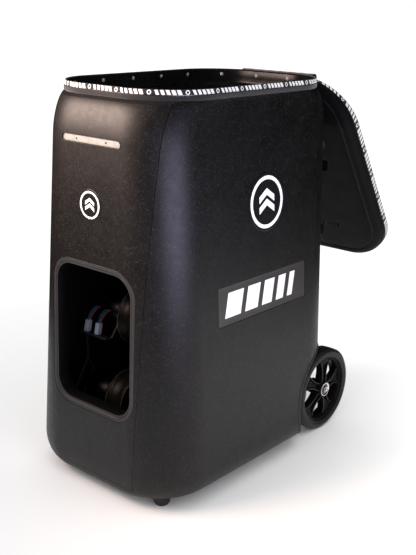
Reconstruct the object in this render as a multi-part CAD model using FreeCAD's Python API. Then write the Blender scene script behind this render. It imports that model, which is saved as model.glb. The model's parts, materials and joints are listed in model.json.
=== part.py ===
import FreeCAD, Part
import math
import os

V = FreeCAD.Vector
X_AXIS = V(1, 0, 0)
Y_AXIS = V(0, 1, 0)
Z_AXIS = V(0, 0, 1)

# Driving dimensions, in mm. X runs across the machine, Y from the front to the rear, Z up from the ground.
# Y is 0 at the middle of the body here; every piece is moved by ORIGIN_SHIFT_Y when it is written.
ORIGIN_SHIFT_Y = -111.0

# Shell: tapered sides, a shoulder at the top and a rolled edge at the bottom.
SHELL_BOTTOM_Z = 20.0
ROLL_TOP_Z = 58.0
SHOULDER_Z = 550.0
RIM_BASE_Z = 609.5
MID_Z = 312.5
HALF_WIDTH_MID = 146.7
FRONT_MID = 224.6
REAR_MID = 218.0
SIDE_SLOPE = 0.062
FRONT_SLOPE = 0.011
REAR_SLOPE = 0.034
CORNER_R = 84.0
ROLL_SIDE = 20.0
ROLL_FRONT = 5.0
ROLL_REAR = 12.0
WALL = 4.0

# Rim: a stiff neck on the shell, wrapped by a fabric band.
RIM_TOP_Z = 625.0
RIM_HALF_WIDTH = 131.0
RIM_FRONT = 202.4
RIM_REAR = 205.2
RIM_R = 90.0
BAND_T = 2.6
NECK_IN = 3.0
NECK_OUT = 6.0
LEDGE_T = 4.0

# Front panel, window and light bar.
PANEL_BOTTOM_Z = 30.0
PANEL_TOP_Z = 605.3
SEAM_AT_GROUND = 85.5
SEAM_SLOPE = 0.045
SEAM_GAP = 0.4
WINDOW_HALF = 75.0
WINDOW_Z0 = 147.0
WINDOW_Z1 = 357.5
WINDOW_R = 28.0
BEZEL_W = 13.0
BEZEL_DEPTH = 12.0
BEZEL_BACK_Y = -205.0
LIGHT_Z = 549.0
LIGHT_HALF_L = 60.0
LIGHT_H = 11.0
LIGHT_FACE_Y = -219.0

# Badges and side plates.
FRONT_BADGE_Z = 457.0
FRONT_BADGE_R = 23.0
SIDE_BADGE_Y = 13.0
SIDE_BADGE_Z = 448.0
SIDE_BADGE_R = 45.0
PLATE_Y0 = -106.0
PLATE_Y1 = 116.0
PLATE_Z0 = 275.0
PLATE_Z1 = 337.0

# Travel wheels.
WHEEL_R = 75.0
WHEEL_Y = 206.7
TYRE_X0 = 113.0
TYRE_X1 = 143.0
TYRE_BEAD_R = 60.0
RIM_BORE_R = 52.5
HUB_R = 14.0
AXLE_R = 6.0
RUN_CLEARANCE = 0.05
SPOKES = 5
SPOKE_PHASE = 8.0
WELL_R = 82.0
WELL_WALL = 3.0
WELL_X = 101.0
FLARE_X = 112.0
FLARE_RISE = 26.0
FLARE_LENGTH = 60.0
BEAM_Y0 = 190.0
BEAM_Y1 = 220.0
BEAM_Z0 = 60.0
BEAM_Z1 = 90.0

# Hopper and ball feed.
BOWL_IN = 6.3
BOWL_T = 2.4
BOWL_LEDGE_Z = 600.0
FEED_Y = -30.0
FEED_FLOOR_Z = 396.0
FEED_R = 119.0
POCKET_PITCH_R = 72.0
POCKET_R = 36.5
POCKETS = 5
CHUTE_R = 39.0
CHUTE_WALL = 2.0
BEND_R = 46.0
BEND_Z = 240.0

# Launcher: built level, about its pitch pivot, then tilted up by LAUNCH_ANGLE.
PIVOT_Y = -46.0
PIVOT_Z = 175.0
LAUNCH_ANGLE = 12.0
NIP_FORWARD = 77.0
WHEEL_OFFSET = 68.0
THROW_R = 48.0
THROW_HALF_W = 17.0
PLUG_FORWARD = 113.0
PLUG_UP = 34.0
CHEEK_X0 = 40.0
CHEEK_X1 = 43.0
CHEEK_FRONT = 92.0
YOKE_X0 = 50.0
YOKE_X1 = 54.0
SHAFT_R = 4.0
MOTOR_R = 22.0
WIRE_R = 0.8
STAY_W = 3.0

# Rear handle, panel and lid.
TUBE_X = 80.0
TUBE_Y = 235.0
GRIP_Z = 505.0
GRIP_R = 9.0
REAR_PANEL_HALF = 62.0
REAR_PANEL_Z0 = 230.0
REAR_PANEL_Z1 = 320.0
REAR_PANEL_Y = 221.0
ROCKER_X = -34.0
SOCKET_X = 34.0
LOW_Z = 246.0
ROCKER_TILT = 6.0
HINGE_Y = 218.0
HINGE_Z = 629.0
LID_OPEN_ANGLE = 237.0
LID_TOP_Z = 653.0
LID_HINGE_END_Z = 635.0
LID_WEDGE_Y = 128.0
LID_T = 4.0
HINGE_HALF = 75.0

nodes = {}


def box(x0, x1, y0, y1, z0, z1):
    return Part.makeBox(x1 - x0, y1 - y0, z1 - z0, V(x0, y0, z0))


def rod(radius, start, direction, length):
    return Part.makeCylinder(radius, length, V(*start), V(*direction))


def pipe(outer, inner, start, direction, length):
    return rod(outer, start, direction, length).cut(rod(inner, start, direction, length))


def union(shapes):
    return shapes[0].fuse(shapes[1:]).removeSplitter()


def rounded_wire(u0, u1, v0, v1, radius, place):
    k = radius * (1 - math.sqrt(0.5))
    corners = [
        (u1 - radius, v0), (u1 - k, v0 + k), (u1, v0 + radius),
        (u1, v1 - radius), (u1 - k, v1 - k), (u1 - radius, v1),
        (u0 + radius, v1), (u0 + k, v1 - k), (u0, v1 - radius),
        (u0, v0 + radius), (u0 + k, v0 + k), (u0 + radius, v0),
    ]
    points = [place(u, v) for u, v in corners]
    edges = []
    for i in range(0, 12, 3):
        edges.append(Part.Arc(points[i], points[i + 1], points[i + 2]).toShape())
        edges.append(Part.makeLine(points[i + 2], points[(i + 3) % 12]))
    return Part.Wire(edges)


def plan_wire(outline, z):
    return rounded_wire(*outline, lambda u, v: V(u, v, z))


def plan_prism(outline, z0, z1):
    return Part.Face(plan_wire(outline, z0)).extrude(V(0, 0, z1 - z0))


def plan_ring(outline_at, outer_inset, inner_inset, z0, z1):
    return plan_prism(outline_at(outer_inset), z0, z1).cut(plan_prism(outline_at(inner_inset), z0, z1))


def front_wire(half, z0, z1, radius, y):
    return rounded_wire(-half, half, z0, z1, radius, lambda u, v: V(u, y, v))


def front_prism(half, z0, z1, radius, y0, y1):
    return Part.Face(front_wire(half, z0, z1, radius, y0)).extrude(V(0, y1 - y0, 0))


def prism_x(points, x0, x1):
    corners = [V(x0, y, z) for y, z in points]
    return Part.Face(Part.makePolygon(corners + corners[:1])).extrude(V(x1 - x0, 0, 0))


def mirrored(shape):
    return shape.mirror(V(0, 0, 0), X_AXIS)


def both_sides(shape):
    return Part.makeCompound([shape, mirrored(shape)])


def quarter_round(t):
    return (1 - math.sqrt(1 - (0.98 * t) ** 2)) / (1 - math.sqrt(1 - 0.98 ** 2))


def rim_outline(inset):
    half = RIM_HALF_WIDTH - inset
    return (-half, half, -RIM_FRONT + inset, RIM_REAR - inset, RIM_R - inset)


def body_outline(z, inset):
    half = HALF_WIDTH_MID + SIDE_SLOPE * (MID_Z - z)
    front = FRONT_MID + FRONT_SLOPE * (MID_Z - z)
    rear = REAR_MID - REAR_SLOPE * (MID_Z - z)
    shoulder = quarter_round(max(0.0, (z - SHOULDER_Z) / (RIM_BASE_Z - SHOULDER_Z)))
    roll = quarter_round(max(0.0, (ROLL_TOP_Z - z) / (ROLL_TOP_Z - SHELL_BOTTOM_Z)))
    half += (RIM_HALF_WIDTH - half) * shoulder - ROLL_SIDE * roll
    front += (RIM_FRONT - front) * shoulder - ROLL_FRONT * roll
    rear += (RIM_REAR - rear) * shoulder - ROLL_REAR * roll
    radius = CORNER_R + (RIM_R - CORNER_R) * shoulder
    return (-half + inset, half - inset, -front + inset, rear - inset, radius - inset)


def body_block(inset, z0, z1):
    zones = [
        (SHELL_BOTTOM_Z, ROLL_TOP_Z, [0.0, 0.08, 0.22, 0.45, 0.7, 1.0]),
        (ROLL_TOP_Z, SHOULDER_Z, [0.0, 1.0]),
        (SHOULDER_Z, RIM_BASE_Z, [0.0, 0.3, 0.55, 0.78, 0.92, 1.0]),
    ]
    parts = []
    for zone_z0, zone_z1, steps in zones:
        low = max(z0, zone_z0)
        high = min(z1, zone_z1)
        if high - low < 0.01:
            continue
        levels = [low + (high - low) * step for step in steps]
        wires = [plan_wire(body_outline(z, inset), z) for z in levels]
        parts.append(Part.makeLoft(wires, True, len(steps) == 2))
    return parts[0] if len(parts) == 1 else union(parts)


def skin(outer_inset, inner_inset, region):
    z0 = region.BoundBox.ZMin - 1
    z1 = region.BoundBox.ZMax + 1
    outer = body_block(outer_inset, z0, z1).common(region)
    return outer.cut(body_block(inner_inset, z0, z1))


def seam_wedge(gap):
    z0 = PANEL_BOTTOM_Z - gap
    z1 = PANEL_TOP_Z + gap * 0.25
    half0 = SEAM_AT_GROUND + SEAM_SLOPE * z0 + gap
    half1 = SEAM_AT_GROUND + SEAM_SLOPE * z1 + gap
    corners = [V(-half0, -300, z0), V(half0, -300, z0), V(half1, -300, z1), V(-half1, -300, z1)]
    return Part.Face(Part.makePolygon(corners + corners[:1])).extrude(V(0, 160, 0))


def walk_outline(outline, distance):
    x0, x1, y0, y1, radius = outline
    quarter = radius * math.pi / 2
    length_y = y1 - y0 - 2 * radius
    length_x = x1 - x0 - 2 * radius
    legs = [
        (length_y, (x0, y0 + radius), (0, 1)), (quarter, (x0 + radius, y1 - radius), 180),
        (length_x, (x0 + radius, y1), (1, 0)), (quarter, (x1 - radius, y1 - radius), 90),
        (length_y, (x1, y1 - radius), (0, -1)), (quarter, (x1 - radius, y0 + radius), 0),
        (length_x, (x1 - radius, y0), (-1, 0)), (quarter, (x0 + radius, y0 + radius), -90),
    ]
    distance = distance % sum(leg[0] for leg in legs)
    for length, start, heading in legs:
        if distance <= length:
            break
        distance -= length
    if isinstance(heading, tuple):
        inward = V(heading[1], -heading[0], 0)
        return V(start[0] + heading[0] * distance, start[1] + heading[1] * distance, 0), inward
    angle = math.radians(heading) - distance / radius
    inward = V(-math.cos(angle), -math.sin(angle), 0)
    return V(start[0], start[1], 0) - inward * radius, inward


def outline_length(outline):
    x0, x1, y0, y1, radius = outline
    return 2 * (x1 - x0 + y1 - y0 - 4 * radius) + 2 * math.pi * radius


# ---------------------------------------------------------------- shell, front panel and rim
outer_body = body_block(0, SHELL_BOTTOM_Z, RIM_BASE_Z)
inner_body = body_block(WALL, SHELL_BOTTOM_Z + WALL, RIM_BASE_Z)
wall_body = outer_body.cut(inner_body)


def well_shape(radius, x0):
    straight = rod(radius, (x0, WHEEL_Y, WHEEL_R), (1, 0, 0), FLARE_X - x0)
    flare = Part.makeCone(radius, radius + FLARE_RISE, FLARE_LENGTH, V(FLARE_X, WHEEL_Y, WHEEL_R), X_AXIS)
    return straight.fuse(flare)


well_hole = well_shape(WELL_R + WELL_WALL, WELL_X)
beam_hole = box(-WELL_X - 0.3, WELL_X + 0.3, BEAM_Y0 - 0.3, 240, BEAM_Z0 - 0.3, BEAM_Z1 + 0.3)
plate_region = box(100, 200, PLATE_Y0, PLATE_Y1, PLATE_Z0, PLATE_Z1)
plate_recess = skin(0, 1.2, plate_region)
service_opening = box(-105, 105, -115, 75, SHELL_BOTTOM_Z - 5, SHELL_BOTTOM_Z + 10)
rear_hole_half = REAR_PANEL_HALF + 0.3
rear_hole = box(-rear_hole_half, rear_hole_half, 190, 240, REAR_PANEL_Z0 - 0.3, REAR_PANEL_Z1 + 0.3)

ledge = plan_ring(rim_outline, 1.5, NECK_OUT, RIM_BASE_Z - LEDGE_T, RIM_BASE_Z)
neck = plan_ring(rim_outline, NECK_IN, NECK_OUT, RIM_BASE_Z - LEDGE_T, RIM_TOP_Z - 4)
shell = wall_body.cut(seam_wedge(SEAM_GAP))
shell = shell.fuse([ledge, neck])
for cutter in (well_hole, plate_recess):
    shell = shell.cut(cutter).cut(mirrored(cutter))
shell = shell.cut(beam_hole).cut(service_opening).cut(rear_hole)
nodes["main_shell"] = shell.removeSplitter()

bezel_half = WINDOW_HALF + BEZEL_W
bezel_z0 = WINDOW_Z0 - BEZEL_W
bezel_z1 = WINDOW_Z1 + BEZEL_W
bezel_r = WINDOW_R + BEZEL_W
light_slot = front_prism(LIGHT_HALF_L + 0.6, LIGHT_Z - LIGHT_H / 2 - 0.6, LIGHT_Z + LIGHT_H / 2 + 0.6,
                         LIGHT_H / 2 + 0.59, -260, -200)
window_hole = front_prism(bezel_half, bezel_z0, bezel_z1, bezel_r, -260, -190)
nodes["front_panel"] = wall_body.common(seam_wedge(0)).cut(window_hole).cut(light_slot)

bezel = front_prism(bezel_half - 0.2, bezel_z0 + 0.2, bezel_z1 - 0.2, bezel_r - 0.2, -235, BEZEL_BACK_Y)
bezel = bezel.common(body_block(0.4, bezel_z0 - 10, bezel_z1 + 10))
funnel_y0 = -FRONT_MID - 4
funnel_y1 = -FRONT_MID + BEZEL_DEPTH
funnel = Part.makeLoft([
    front_wire(bezel_half + 2, bezel_z0 - 2, bezel_z1 + 2, bezel_r + 2, funnel_y0),
    front_wire(WINDOW_HALF, WINDOW_Z0, WINDOW_Z1, WINDOW_R, funnel_y1),
], True, True)
throat = front_prism(WINDOW_HALF, WINDOW_Z0, WINDOW_Z1, WINDOW_R, funnel_y1 - 1, -190)
nodes["outlet_bezel"] = bezel.cut(funnel).cut(throat)

light_half_h = LIGHT_H / 2
nodes["light_bar_lens"] = front_prism(LIGHT_HALF_L, LIGHT_Z - light_half_h, LIGHT_Z + light_half_h,
                                      light_half_h - 0.01, LIGHT_FACE_Y, LIGHT_FACE_Y + 4)
board_y = LIGHT_FACE_Y + 4
light_board = box(-LIGHT_HALF_L - 6, LIGHT_HALF_L + 6, board_y, board_y + 1.6, LIGHT_Z - 9, LIGHT_Z + 9)
clips = [box(x - 4, x + 4, board_y + 1.6, board_y + 5, LIGHT_Z - 5, LIGHT_Z + 5) for x in (-52, 52)]
nodes["light_bar_board"] = union([light_board] + clips)

front_badge_region = rod(FRONT_BADGE_R, (0, -260, FRONT_BADGE_Z), (0, 1, 0), 60)
front_badge = skin(-0.8, 0, front_badge_region)
side_badge = skin(-0.8, 0, rod(SIDE_BADGE_R, (100, SIDE_BADGE_Y, SIDE_BADGE_Z), (1, 0, 0), 80))
nodes["badges"] = Part.makeCompound([front_badge, side_badge, mirrored(side_badge)])
label_region = box(100, 200, PLATE_Y0 + 0.5, PLATE_Y1 - 0.5, PLATE_Z0 + 0.5, PLATE_Z1 - 0.5)
nodes["side_plates"] = both_sides(skin(0.3, 1.2, label_region))

nodes["rim_band"] = plan_ring(rim_outline, 0, BAND_T, RIM_BASE_Z, RIM_TOP_Z)

# ---------------------------------------------------------------- base plate, feet and running gear
base_half = 140.0
screw_spots = [(x, y) for x in (-122, 122) for y in (-100, 60)] + [(0, -126), (0, 84)]
base_plate = plan_prism((-base_half, base_half, -138, 95, 20), 14, SHELL_BOTTOM_Z)
for x, y in screw_spots:
    base_plate = base_plate.cut(rod(4.5, (x, y, 14), (0, 0, 1), 3))
nodes["base_plate"] = base_plate
base_screws = [rod(4, (x, y, 14.4), (0, 0, 1), 2.6) for x, y in screw_spots]

foot = Part.makeCone(12, 17, 16, V(108, -183, 4), Z_AXIS)
foot = foot.fuse(Part.makeCone(9, 12, 4, V(108, -183, 0), Z_AXIS)).removeSplitter()
foot = foot.cut(rod(4, (108, -183, -1), (0, 0, 1), 6))
nodes["front_feet"] = both_sides(foot)

well = well_hole.common(outer_body).cut(well_shape(WELL_R, WELL_X + WELL_WALL))
well = well.cut(rod(AXLE_R + 0.5, (90, WHEEL_Y, WHEEL_R), (1, 0, 0), 30))
nodes["wheel_wells"] = both_sides(well)

beam = box(-WELL_X, WELL_X, BEAM_Y0, BEAM_Y1, BEAM_Z0, BEAM_Z1)
beam = beam.makeFillet(4, [e for e in beam.Edges if abs(e.tangentAt(0).x) > 0.9 and e.BoundBox.YMin > 200])
beam = beam.cut(rod(AXLE_R, (-WELL_X, WHEEL_Y, WHEEL_R), (1, 0, 0), 2 * WELL_X))
nodes["axle_beam"] = beam
nodes["axle"] = rod(AXLE_R, (-139, WHEEL_Y, WHEEL_R), (1, 0, 0), 278)

wheel_axis_point = V(0, WHEEL_Y, WHEEL_R)
tyre_section = rounded_wire(TYRE_X0, TYRE_X1, TYRE_BEAD_R, WHEEL_R, 6,
                            lambda u, v: V(u, WHEEL_Y, WHEEL_R + v))
tyre = Part.Face(tyre_section).revolve(wheel_axis_point, X_AXIS, 360)
groove_x = [TYRE_X0 + 9, (TYRE_X0 + TYRE_X1) / 2 - 1, TYRE_X1 - 11]
for x in groove_x:
    tyre = tyre.cut(pipe(WHEEL_R + 1, WHEEL_R - 1.5, (x, WHEEL_Y, WHEEL_R), (1, 0, 0), 2))

rim = pipe(TYRE_BEAD_R, RIM_BORE_R, (TYRE_X0 + 3, WHEEL_Y, WHEEL_R), (1, 0, 0), 24)
hub = rod(HUB_R, (TYRE_X0 - 1, WHEEL_Y, WHEEL_R), (1, 0, 0), TYRE_X1 - TYRE_X0 - 1)
spokes = []
spoke_half = [(-8, HUB_R - 3), (-7, 30), (-9, 42), (-15, RIM_BORE_R + 1)]
spoke_points = spoke_half + [(-y, z) for y, z in reversed(spoke_half)]
for i in range(SPOKES):
    spoke = prism_x(spoke_points, TYRE_X0 + 9, TYRE_X0 + 19)
    spoke.rotate(V(0, 0, 0), X_AXIS, -360 / SPOKES * i - SPOKE_PHASE)
    spoke.translate(V(0, WHEEL_Y, WHEEL_R))
    spokes.append(spoke)
wheel = union([rim, hub] + spokes)
wheel = wheel.cut(rod(AXLE_R + RUN_CLEARANCE, (TYRE_X0 - 5, WHEEL_Y, WHEEL_R), (1, 0, 0), 60))
cap = rod(12, (TYRE_X1 - 2, WHEEL_Y, WHEEL_R), (1, 0, 0), 2.5)
cap = cap.fuse(Part.makeCone(8, 5.5, 2.5, V(TYRE_X1 + 0.5, WHEEL_Y, WHEEL_R), X_AXIS)).removeSplitter()
for name, shape in (("tyre", tyre), ("wheel", wheel), ("hub_cap", cap)):
    nodes["right_" + name] = shape
    nodes["left_" + name] = mirrored(shape)

# ---------------------------------------------------------------- hopper and ball feed
def bowl_levels(inset):
    mouth = 119.0 - inset
    bottom = FEED_R - inset
    return [
        ((-mouth, mouth, -190 + inset, 193 - inset, 80 - inset), BOWL_LEDGE_Z - 3),
        ((-mouth, mouth, -178 + inset, 158 - inset, 96 - inset), 500),
        ((-bottom, bottom, FEED_Y - bottom, FEED_Y + bottom, bottom - 1), FEED_FLOOR_Z),
    ]


def bowl_funnel(inset):
    return Part.makeLoft([plan_wire(outline, z) for outline, z in bowl_levels(inset)], True, False)


mouth_outline = bowl_levels(0)[0][0]
inner_mouth_outline = bowl_levels(BOWL_T)[0][0]
collar = plan_ring(rim_outline, BOWL_IN, BOWL_IN + BOWL_T, BOWL_LEDGE_Z - 3, RIM_TOP_Z - 1.2)
lip = plan_ring(rim_outline, BAND_T + 0.2, BOWL_IN + BOWL_T, RIM_TOP_Z - 3.6, RIM_TOP_Z - 1.2)
bowl_ledge = plan_prism(rim_outline(BOWL_IN), BOWL_LEDGE_Z - 3, BOWL_LEDGE_Z)
bowl_ledge = bowl_ledge.cut(plan_prism(inner_mouth_outline, BOWL_LEDGE_Z - 4, BOWL_LEDGE_Z + 1))
floor = rod(FEED_R, (0, FEED_Y, FEED_FLOOR_Z - 3), (0, 0, 1), 3)
nodes["hopper_bowl"] = bowl_funnel(0).cut(bowl_funnel(BOWL_T))
nodes["hopper_collar"] = union([collar, lip, bowl_ledge])
drop_y = FEED_Y + POCKET_PITCH_R
floor = floor.cut(rod(CHUTE_R - CHUTE_WALL, (0, drop_y, 380), (0, 0, 1), 30))
nodes["hopper_floor"] = floor.cut(rod(6, (0, FEED_Y, 380), (0, 0, 1), 30))

turntable = rod(FEED_R - BOWL_T - 3.6, (0, FEED_Y, FEED_FLOOR_Z + 1), (0, 0, 1), 26)
turntable = turntable.fuse(Part.makeCone(30, 9, 24, V(0, FEED_Y, FEED_FLOOR_Z + 27), Z_AXIS))
for i in range(POCKETS):
    angle = math.radians(90 + 360 / POCKETS * i)
    x = POCKET_PITCH_R * math.cos(angle)
    y = FEED_Y + POCKET_PITCH_R * math.sin(angle)
    turntable = turntable.cut(rod(POCKET_R, (x, y, FEED_FLOOR_Z), (0, 0, 1), 40))
turntable = turntable.fuse(rod(SHAFT_R, (0, FEED_Y, FEED_FLOOR_Z - 14), (0, 0, 1), 16))
nodes["feed_turntable"] = turntable.removeSplitter()

feed_motor = rod(18, (0, FEED_Y, 350), (0, 0, 1), FEED_FLOOR_Z - 3 - 350)
feed_motor = feed_motor.fuse(rod(12, (0, FEED_Y, 344), (0, 0, 1), 7)).removeSplitter()
nodes["feed_motor"] = feed_motor.cut(rod(5, (0, FEED_Y, FEED_FLOOR_Z - 16), (0, 0, 1), 20))

bend_y = drop_y - BEND_R
chute = pipe(CHUTE_R, CHUTE_R - CHUTE_WALL, (0, drop_y, BEND_Z), (0, 0, 1), FEED_FLOOR_Z - 3 - BEND_Z)
collar_ring = pipe(52, CHUTE_R - CHUTE_WALL, (0, drop_y, FEED_FLOOR_Z - 6), (0, 0, 1), 3)
ring_face = Part.Face([
    Part.Wire(Part.makeCircle(CHUTE_R, V(0, drop_y, BEND_Z), Z_AXIS)),
    Part.Wire(Part.makeCircle(CHUTE_R - CHUTE_WALL, V(0, drop_y, BEND_Z), Z_AXIS)),
])
elbow = ring_face.revolve(V(0, bend_y, BEND_Z), X_AXIS, -90)
chute = union([chute, collar_ring, elbow])
nodes["ball_chute"] = chute.cut(rod(18.3, (0, FEED_Y, 340), (0, 0, 1), 60))

# ---------------------------------------------------------------- launcher
def tilted(shape):
    turned = shape.copy()
    turned.rotate(V(0, PIVOT_Y, PIVOT_Z), X_AXIS, -LAUNCH_ANGLE)
    return turned


def ahead(forward, up):
    return (PIVOT_Y - forward, PIVOT_Z + up)


yaw_motor = rod(MOTOR_R, (0, PIVOT_Y, SHELL_BOTTOM_Z), (0, 0, 1), 28)
yaw_flange = box(-30, 30, PIVOT_Y - 30, PIVOT_Y + 30, SHELL_BOTTOM_Z, SHELL_BOTTOM_Z + 3)
yaw_motor = union([yaw_motor, yaw_flange])
nodes["yaw_motor"] = yaw_motor.cut(rod(5, (0, PIVOT_Y, 40), (0, 0, 1), 20))

yoke_floor = box(-YOKE_X1, YOKE_X1, PIVOT_Y - 20, PIVOT_Y + 20, 50, 55)
yoke_arm = prism_x([
    (PIVOT_Y - 20, 50), (PIVOT_Y + 20, 50), (PIVOT_Y + 14, PIVOT_Z), (PIVOT_Y + 8, PIVOT_Z + 14),
    (PIVOT_Y - 8, PIVOT_Z + 14), (PIVOT_Y - 14, PIVOT_Z),
], YOKE_X0, YOKE_X1)
yoke = union([yoke_floor, yoke_arm, mirrored(yoke_arm), rod(SHAFT_R, (0, PIVOT_Y, 42), (0, 0, 1), 9)])
yoke = yoke.cut(rod(SHAFT_R + RUN_CLEARANCE, (-80, PIVOT_Y, PIVOT_Z), (1, 0, 0), 160))
nodes["launcher_yoke"] = yoke
pitch_motor = rod(20, (YOKE_X1, PIVOT_Y, PIVOT_Z), (1, 0, 0), 30)
pitch_motor = pitch_motor.fuse(box(YOKE_X1 + 4, YOKE_X1 + 26, PIVOT_Y - 12, PIVOT_Y + 12, 120, PIVOT_Z))
nodes["pitch_motor"] = pitch_motor.removeSplitter().cut(rod(5, (YOKE_X1 - 1, PIVOT_Y, PIVOT_Z), (1, 0, 0), 12))

cheek_points = [(-14, -16), (-14, 16), (50, 88), (CHEEK_FRONT, 88), (CHEEK_FRONT, 52), (52, 36),
                (52, -36), (CHEEK_FRONT, -52), (CHEEK_FRONT, -88), (50, -88)]
cheek = prism_x([ahead(f, u) for f, u in cheek_points], CHEEK_X0, CHEEK_X1)
cradle = [cheek, mirrored(cheek)]
for up in (-43, 43):
    y, z = ahead(15, up)
    cradle.append(rod(SHAFT_R, (-CHEEK_X0 - 1, y, z), (1, 0, 0), 2 * CHEEK_X0 + 2))
for start in (-YOKE_X1, CHEEK_X1 - 1):
    cradle.append(rod(SHAFT_R, (start, PIVOT_Y, PIVOT_Z), (1, 0, 0), YOKE_X1 - CHEEK_X1 + 1))
tray_y0, tray_z = ahead(30, 0)
tray = pipe(CHEEK_X0, CHEEK_X0 - 3, (0, tray_y0, tray_z), (0, 1, 0), 44)
tray = tray.common(box(-50, 50, tray_y0 - 1, tray_y0 + 50, tray_z - 50, tray_z))
cradle = union(cradle + [tray])
for up in (-WHEEL_OFFSET, WHEEL_OFFSET):
    y, z = ahead(NIP_FORWARD, up)
    cradle = cradle.cut(rod(SHAFT_R + RUN_CLEARANCE, (-60, y, z), (1, 0, 0), 120))
nodes["launcher_cradle"] = tilted(cradle)

for name, up in (("lower", -WHEEL_OFFSET), ("upper", WHEEL_OFFSET)):
    y, z = ahead(NIP_FORWARD, up)
    throw_section = Part.makePolygon([
        V(x, y, z + radius) for x, radius in (
            (-THROW_HALF_W, 26), (-THROW_HALF_W, THROW_R - 3), (-THROW_HALF_W + 3, THROW_R), (-6, THROW_R - 3),
            (6, THROW_R - 3), (THROW_HALF_W - 3, THROW_R), (THROW_HALF_W, THROW_R - 3), (THROW_HALF_W, 26),
            (-THROW_HALF_W, 26),
        )
    ])
    tread = Part.Face(throw_section).revolve(V(0, y, z), X_AXIS, 360)
    disc = rod(26.5, (-8, y, z), (1, 0, 0), 16)
    for i in range(5):
        angle = math.radians(72 * i)
        disc = disc.cut(rod(5, (-10, y + 17 * math.cos(angle), z + 17 * math.sin(angle)), (1, 0, 0), 20))
    boss = rod(9, (-14, y, z), (1, 0, 0), 28)
    shaft = rod(SHAFT_R, (-CHEEK_X1 + 0.3, y, z), (1, 0, 0), 2 * CHEEK_X1 + 3)
    nodes[name + "_throw_wheel"] = tilted(tread)
    nodes[name + "_throw_hub"] = tilted(union([disc, boss, shaft]).cut(tread))
    motor = rod(MOTOR_R, (-CHEEK_X1, y, z), (-1, 0, 0), 46)
    motor = motor.fuse(rod(MOTOR_R - 5, (-CHEEK_X1 - 46, y, z), (-1, 0, 0), 4)).removeSplitter()
    nodes[name + "_wheel_motor"] = tilted(motor)

plug_y, plug_z = ahead(PLUG_FORWARD, PLUG_UP)
shelf_up = PLUG_UP - 12
strut_points = [(CHEEK_FRONT, 56), (CHEEK_FRONT, 50), (PLUG_FORWARD - 8, shelf_up), (PLUG_FORWARD + 6, shelf_up),
                (PLUG_FORWARD + 6, shelf_up + 3), (PLUG_FORWARD - 7, shelf_up + 3)]
strut = prism_x([ahead(f, u) for f, u in strut_points], -CHEEK_X1, -CHEEK_X0)
shelf = box(-98, -CHEEK_X0, plug_y - 7, plug_y + 9, plug_z - 12, plug_z - 9.5)
bracket = [strut, shelf]
stay_corners = [(116, -81), (97, -21), (80, -42), (98, -92)]
stay_ends = list(zip(stay_corners, stay_corners[1:] + stay_corners[:1]))
stay_ends.append((stay_corners[1], (PLUG_FORWARD - 5, shelf_up + 1)))
for (f0, u0), (f1, u1) in stay_ends:
    length = math.hypot(f1 - f0, u1 - u0)
    df = (u1 - u0) / length * STAY_W / 2
    du = (f1 - f0) / length * STAY_W / 2
    one_edge = [ahead(f0 + df, u0 - du), ahead(f1 + df, u1 - du)]
    other_edge = [ahead(f1 - df, u1 + du), ahead(f0 - df, u0 + du)]
    bracket.append(prism_x(one_edge + other_edge, -97, -95))
nodes["launcher_cradle"] = union([nodes["launcher_cradle"]] + [tilted(piece) for piece in bracket])
plugs = [box(x - 4.2, x + 4.2, plug_y - 4, plug_y + 4, plug_z - 9.5, plug_z + 10) for x in (-90, -66)]
nodes["motor_plugs"] = tilted(Part.makeCompound(plugs))
wires = []
for x in (-90, -66):
    for i in (-1, 0, 1):
        start = V(x + 2.4 * i, plug_y, plug_z + 10.2)
        peak = V(x + 2.4 * i + 4, plug_y + 6, plug_z + 25)
        end = V(x + 3.4 * i + 5, plug_y + 12.4, plug_z + 32)
        path = Part.Wire(Part.Arc(start, peak, end).toShape())
        tangent = path.Edges[0].tangentAt(path.Edges[0].FirstParameter)
        section = Part.Wire(Part.makeCircle(WIRE_R, start, tangent))
        wires.append(path.makePipeShell([section], True, True))
nodes["motor_wires"] = tilted(Part.makeCompound(wires))

# ---------------------------------------------------------------- electrics
battery = box(-68, 68, 92, 168, SHELL_BOTTOM_Z + WALL, 104)
nodes["battery_pack"] = battery.makeFillet(4, battery.Edges)
strap = box(-14, 14, 88, 172, SHELL_BOTTOM_Z + WALL, 107).cut(box(-15, 15, 91.9, 168.1, 20, 104.1))
feet = [box(-14, 14, y, y + 12, SHELL_BOTTOM_Z + WALL, SHELL_BOTTOM_Z + WALL + 3) for y in (77, 171)]
nodes["battery_strap"] = union([strap] + feet)

stand_y0 = -14
stand_y1 = 104
board_z0 = 112
board_z1 = 228
shelves = [box(127.6, 160, stand_y0, stand_y1, z, z + 4) for z in (board_z0, board_z1 - 4)]
stand = union(shelves + [box(127.6, 129.6, stand_y0, stand_y1, board_z0, board_z1)])
board_parts = [stand.common(body_block(WALL, 100, 240))]
board_parts.append(box(126, 127.6, stand_y0 + 4, stand_y1 - 4, board_z0, board_z1))
for y, z, w, h in ((10, 130, 24, 18), (52, 140, 30, 30), (10, 190, 18, 26), (70, 200, 16, 16)):
    board_parts.append(box(118, 126, y, y + w, z, z + h))
nodes["control_board"] = union(board_parts)

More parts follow.
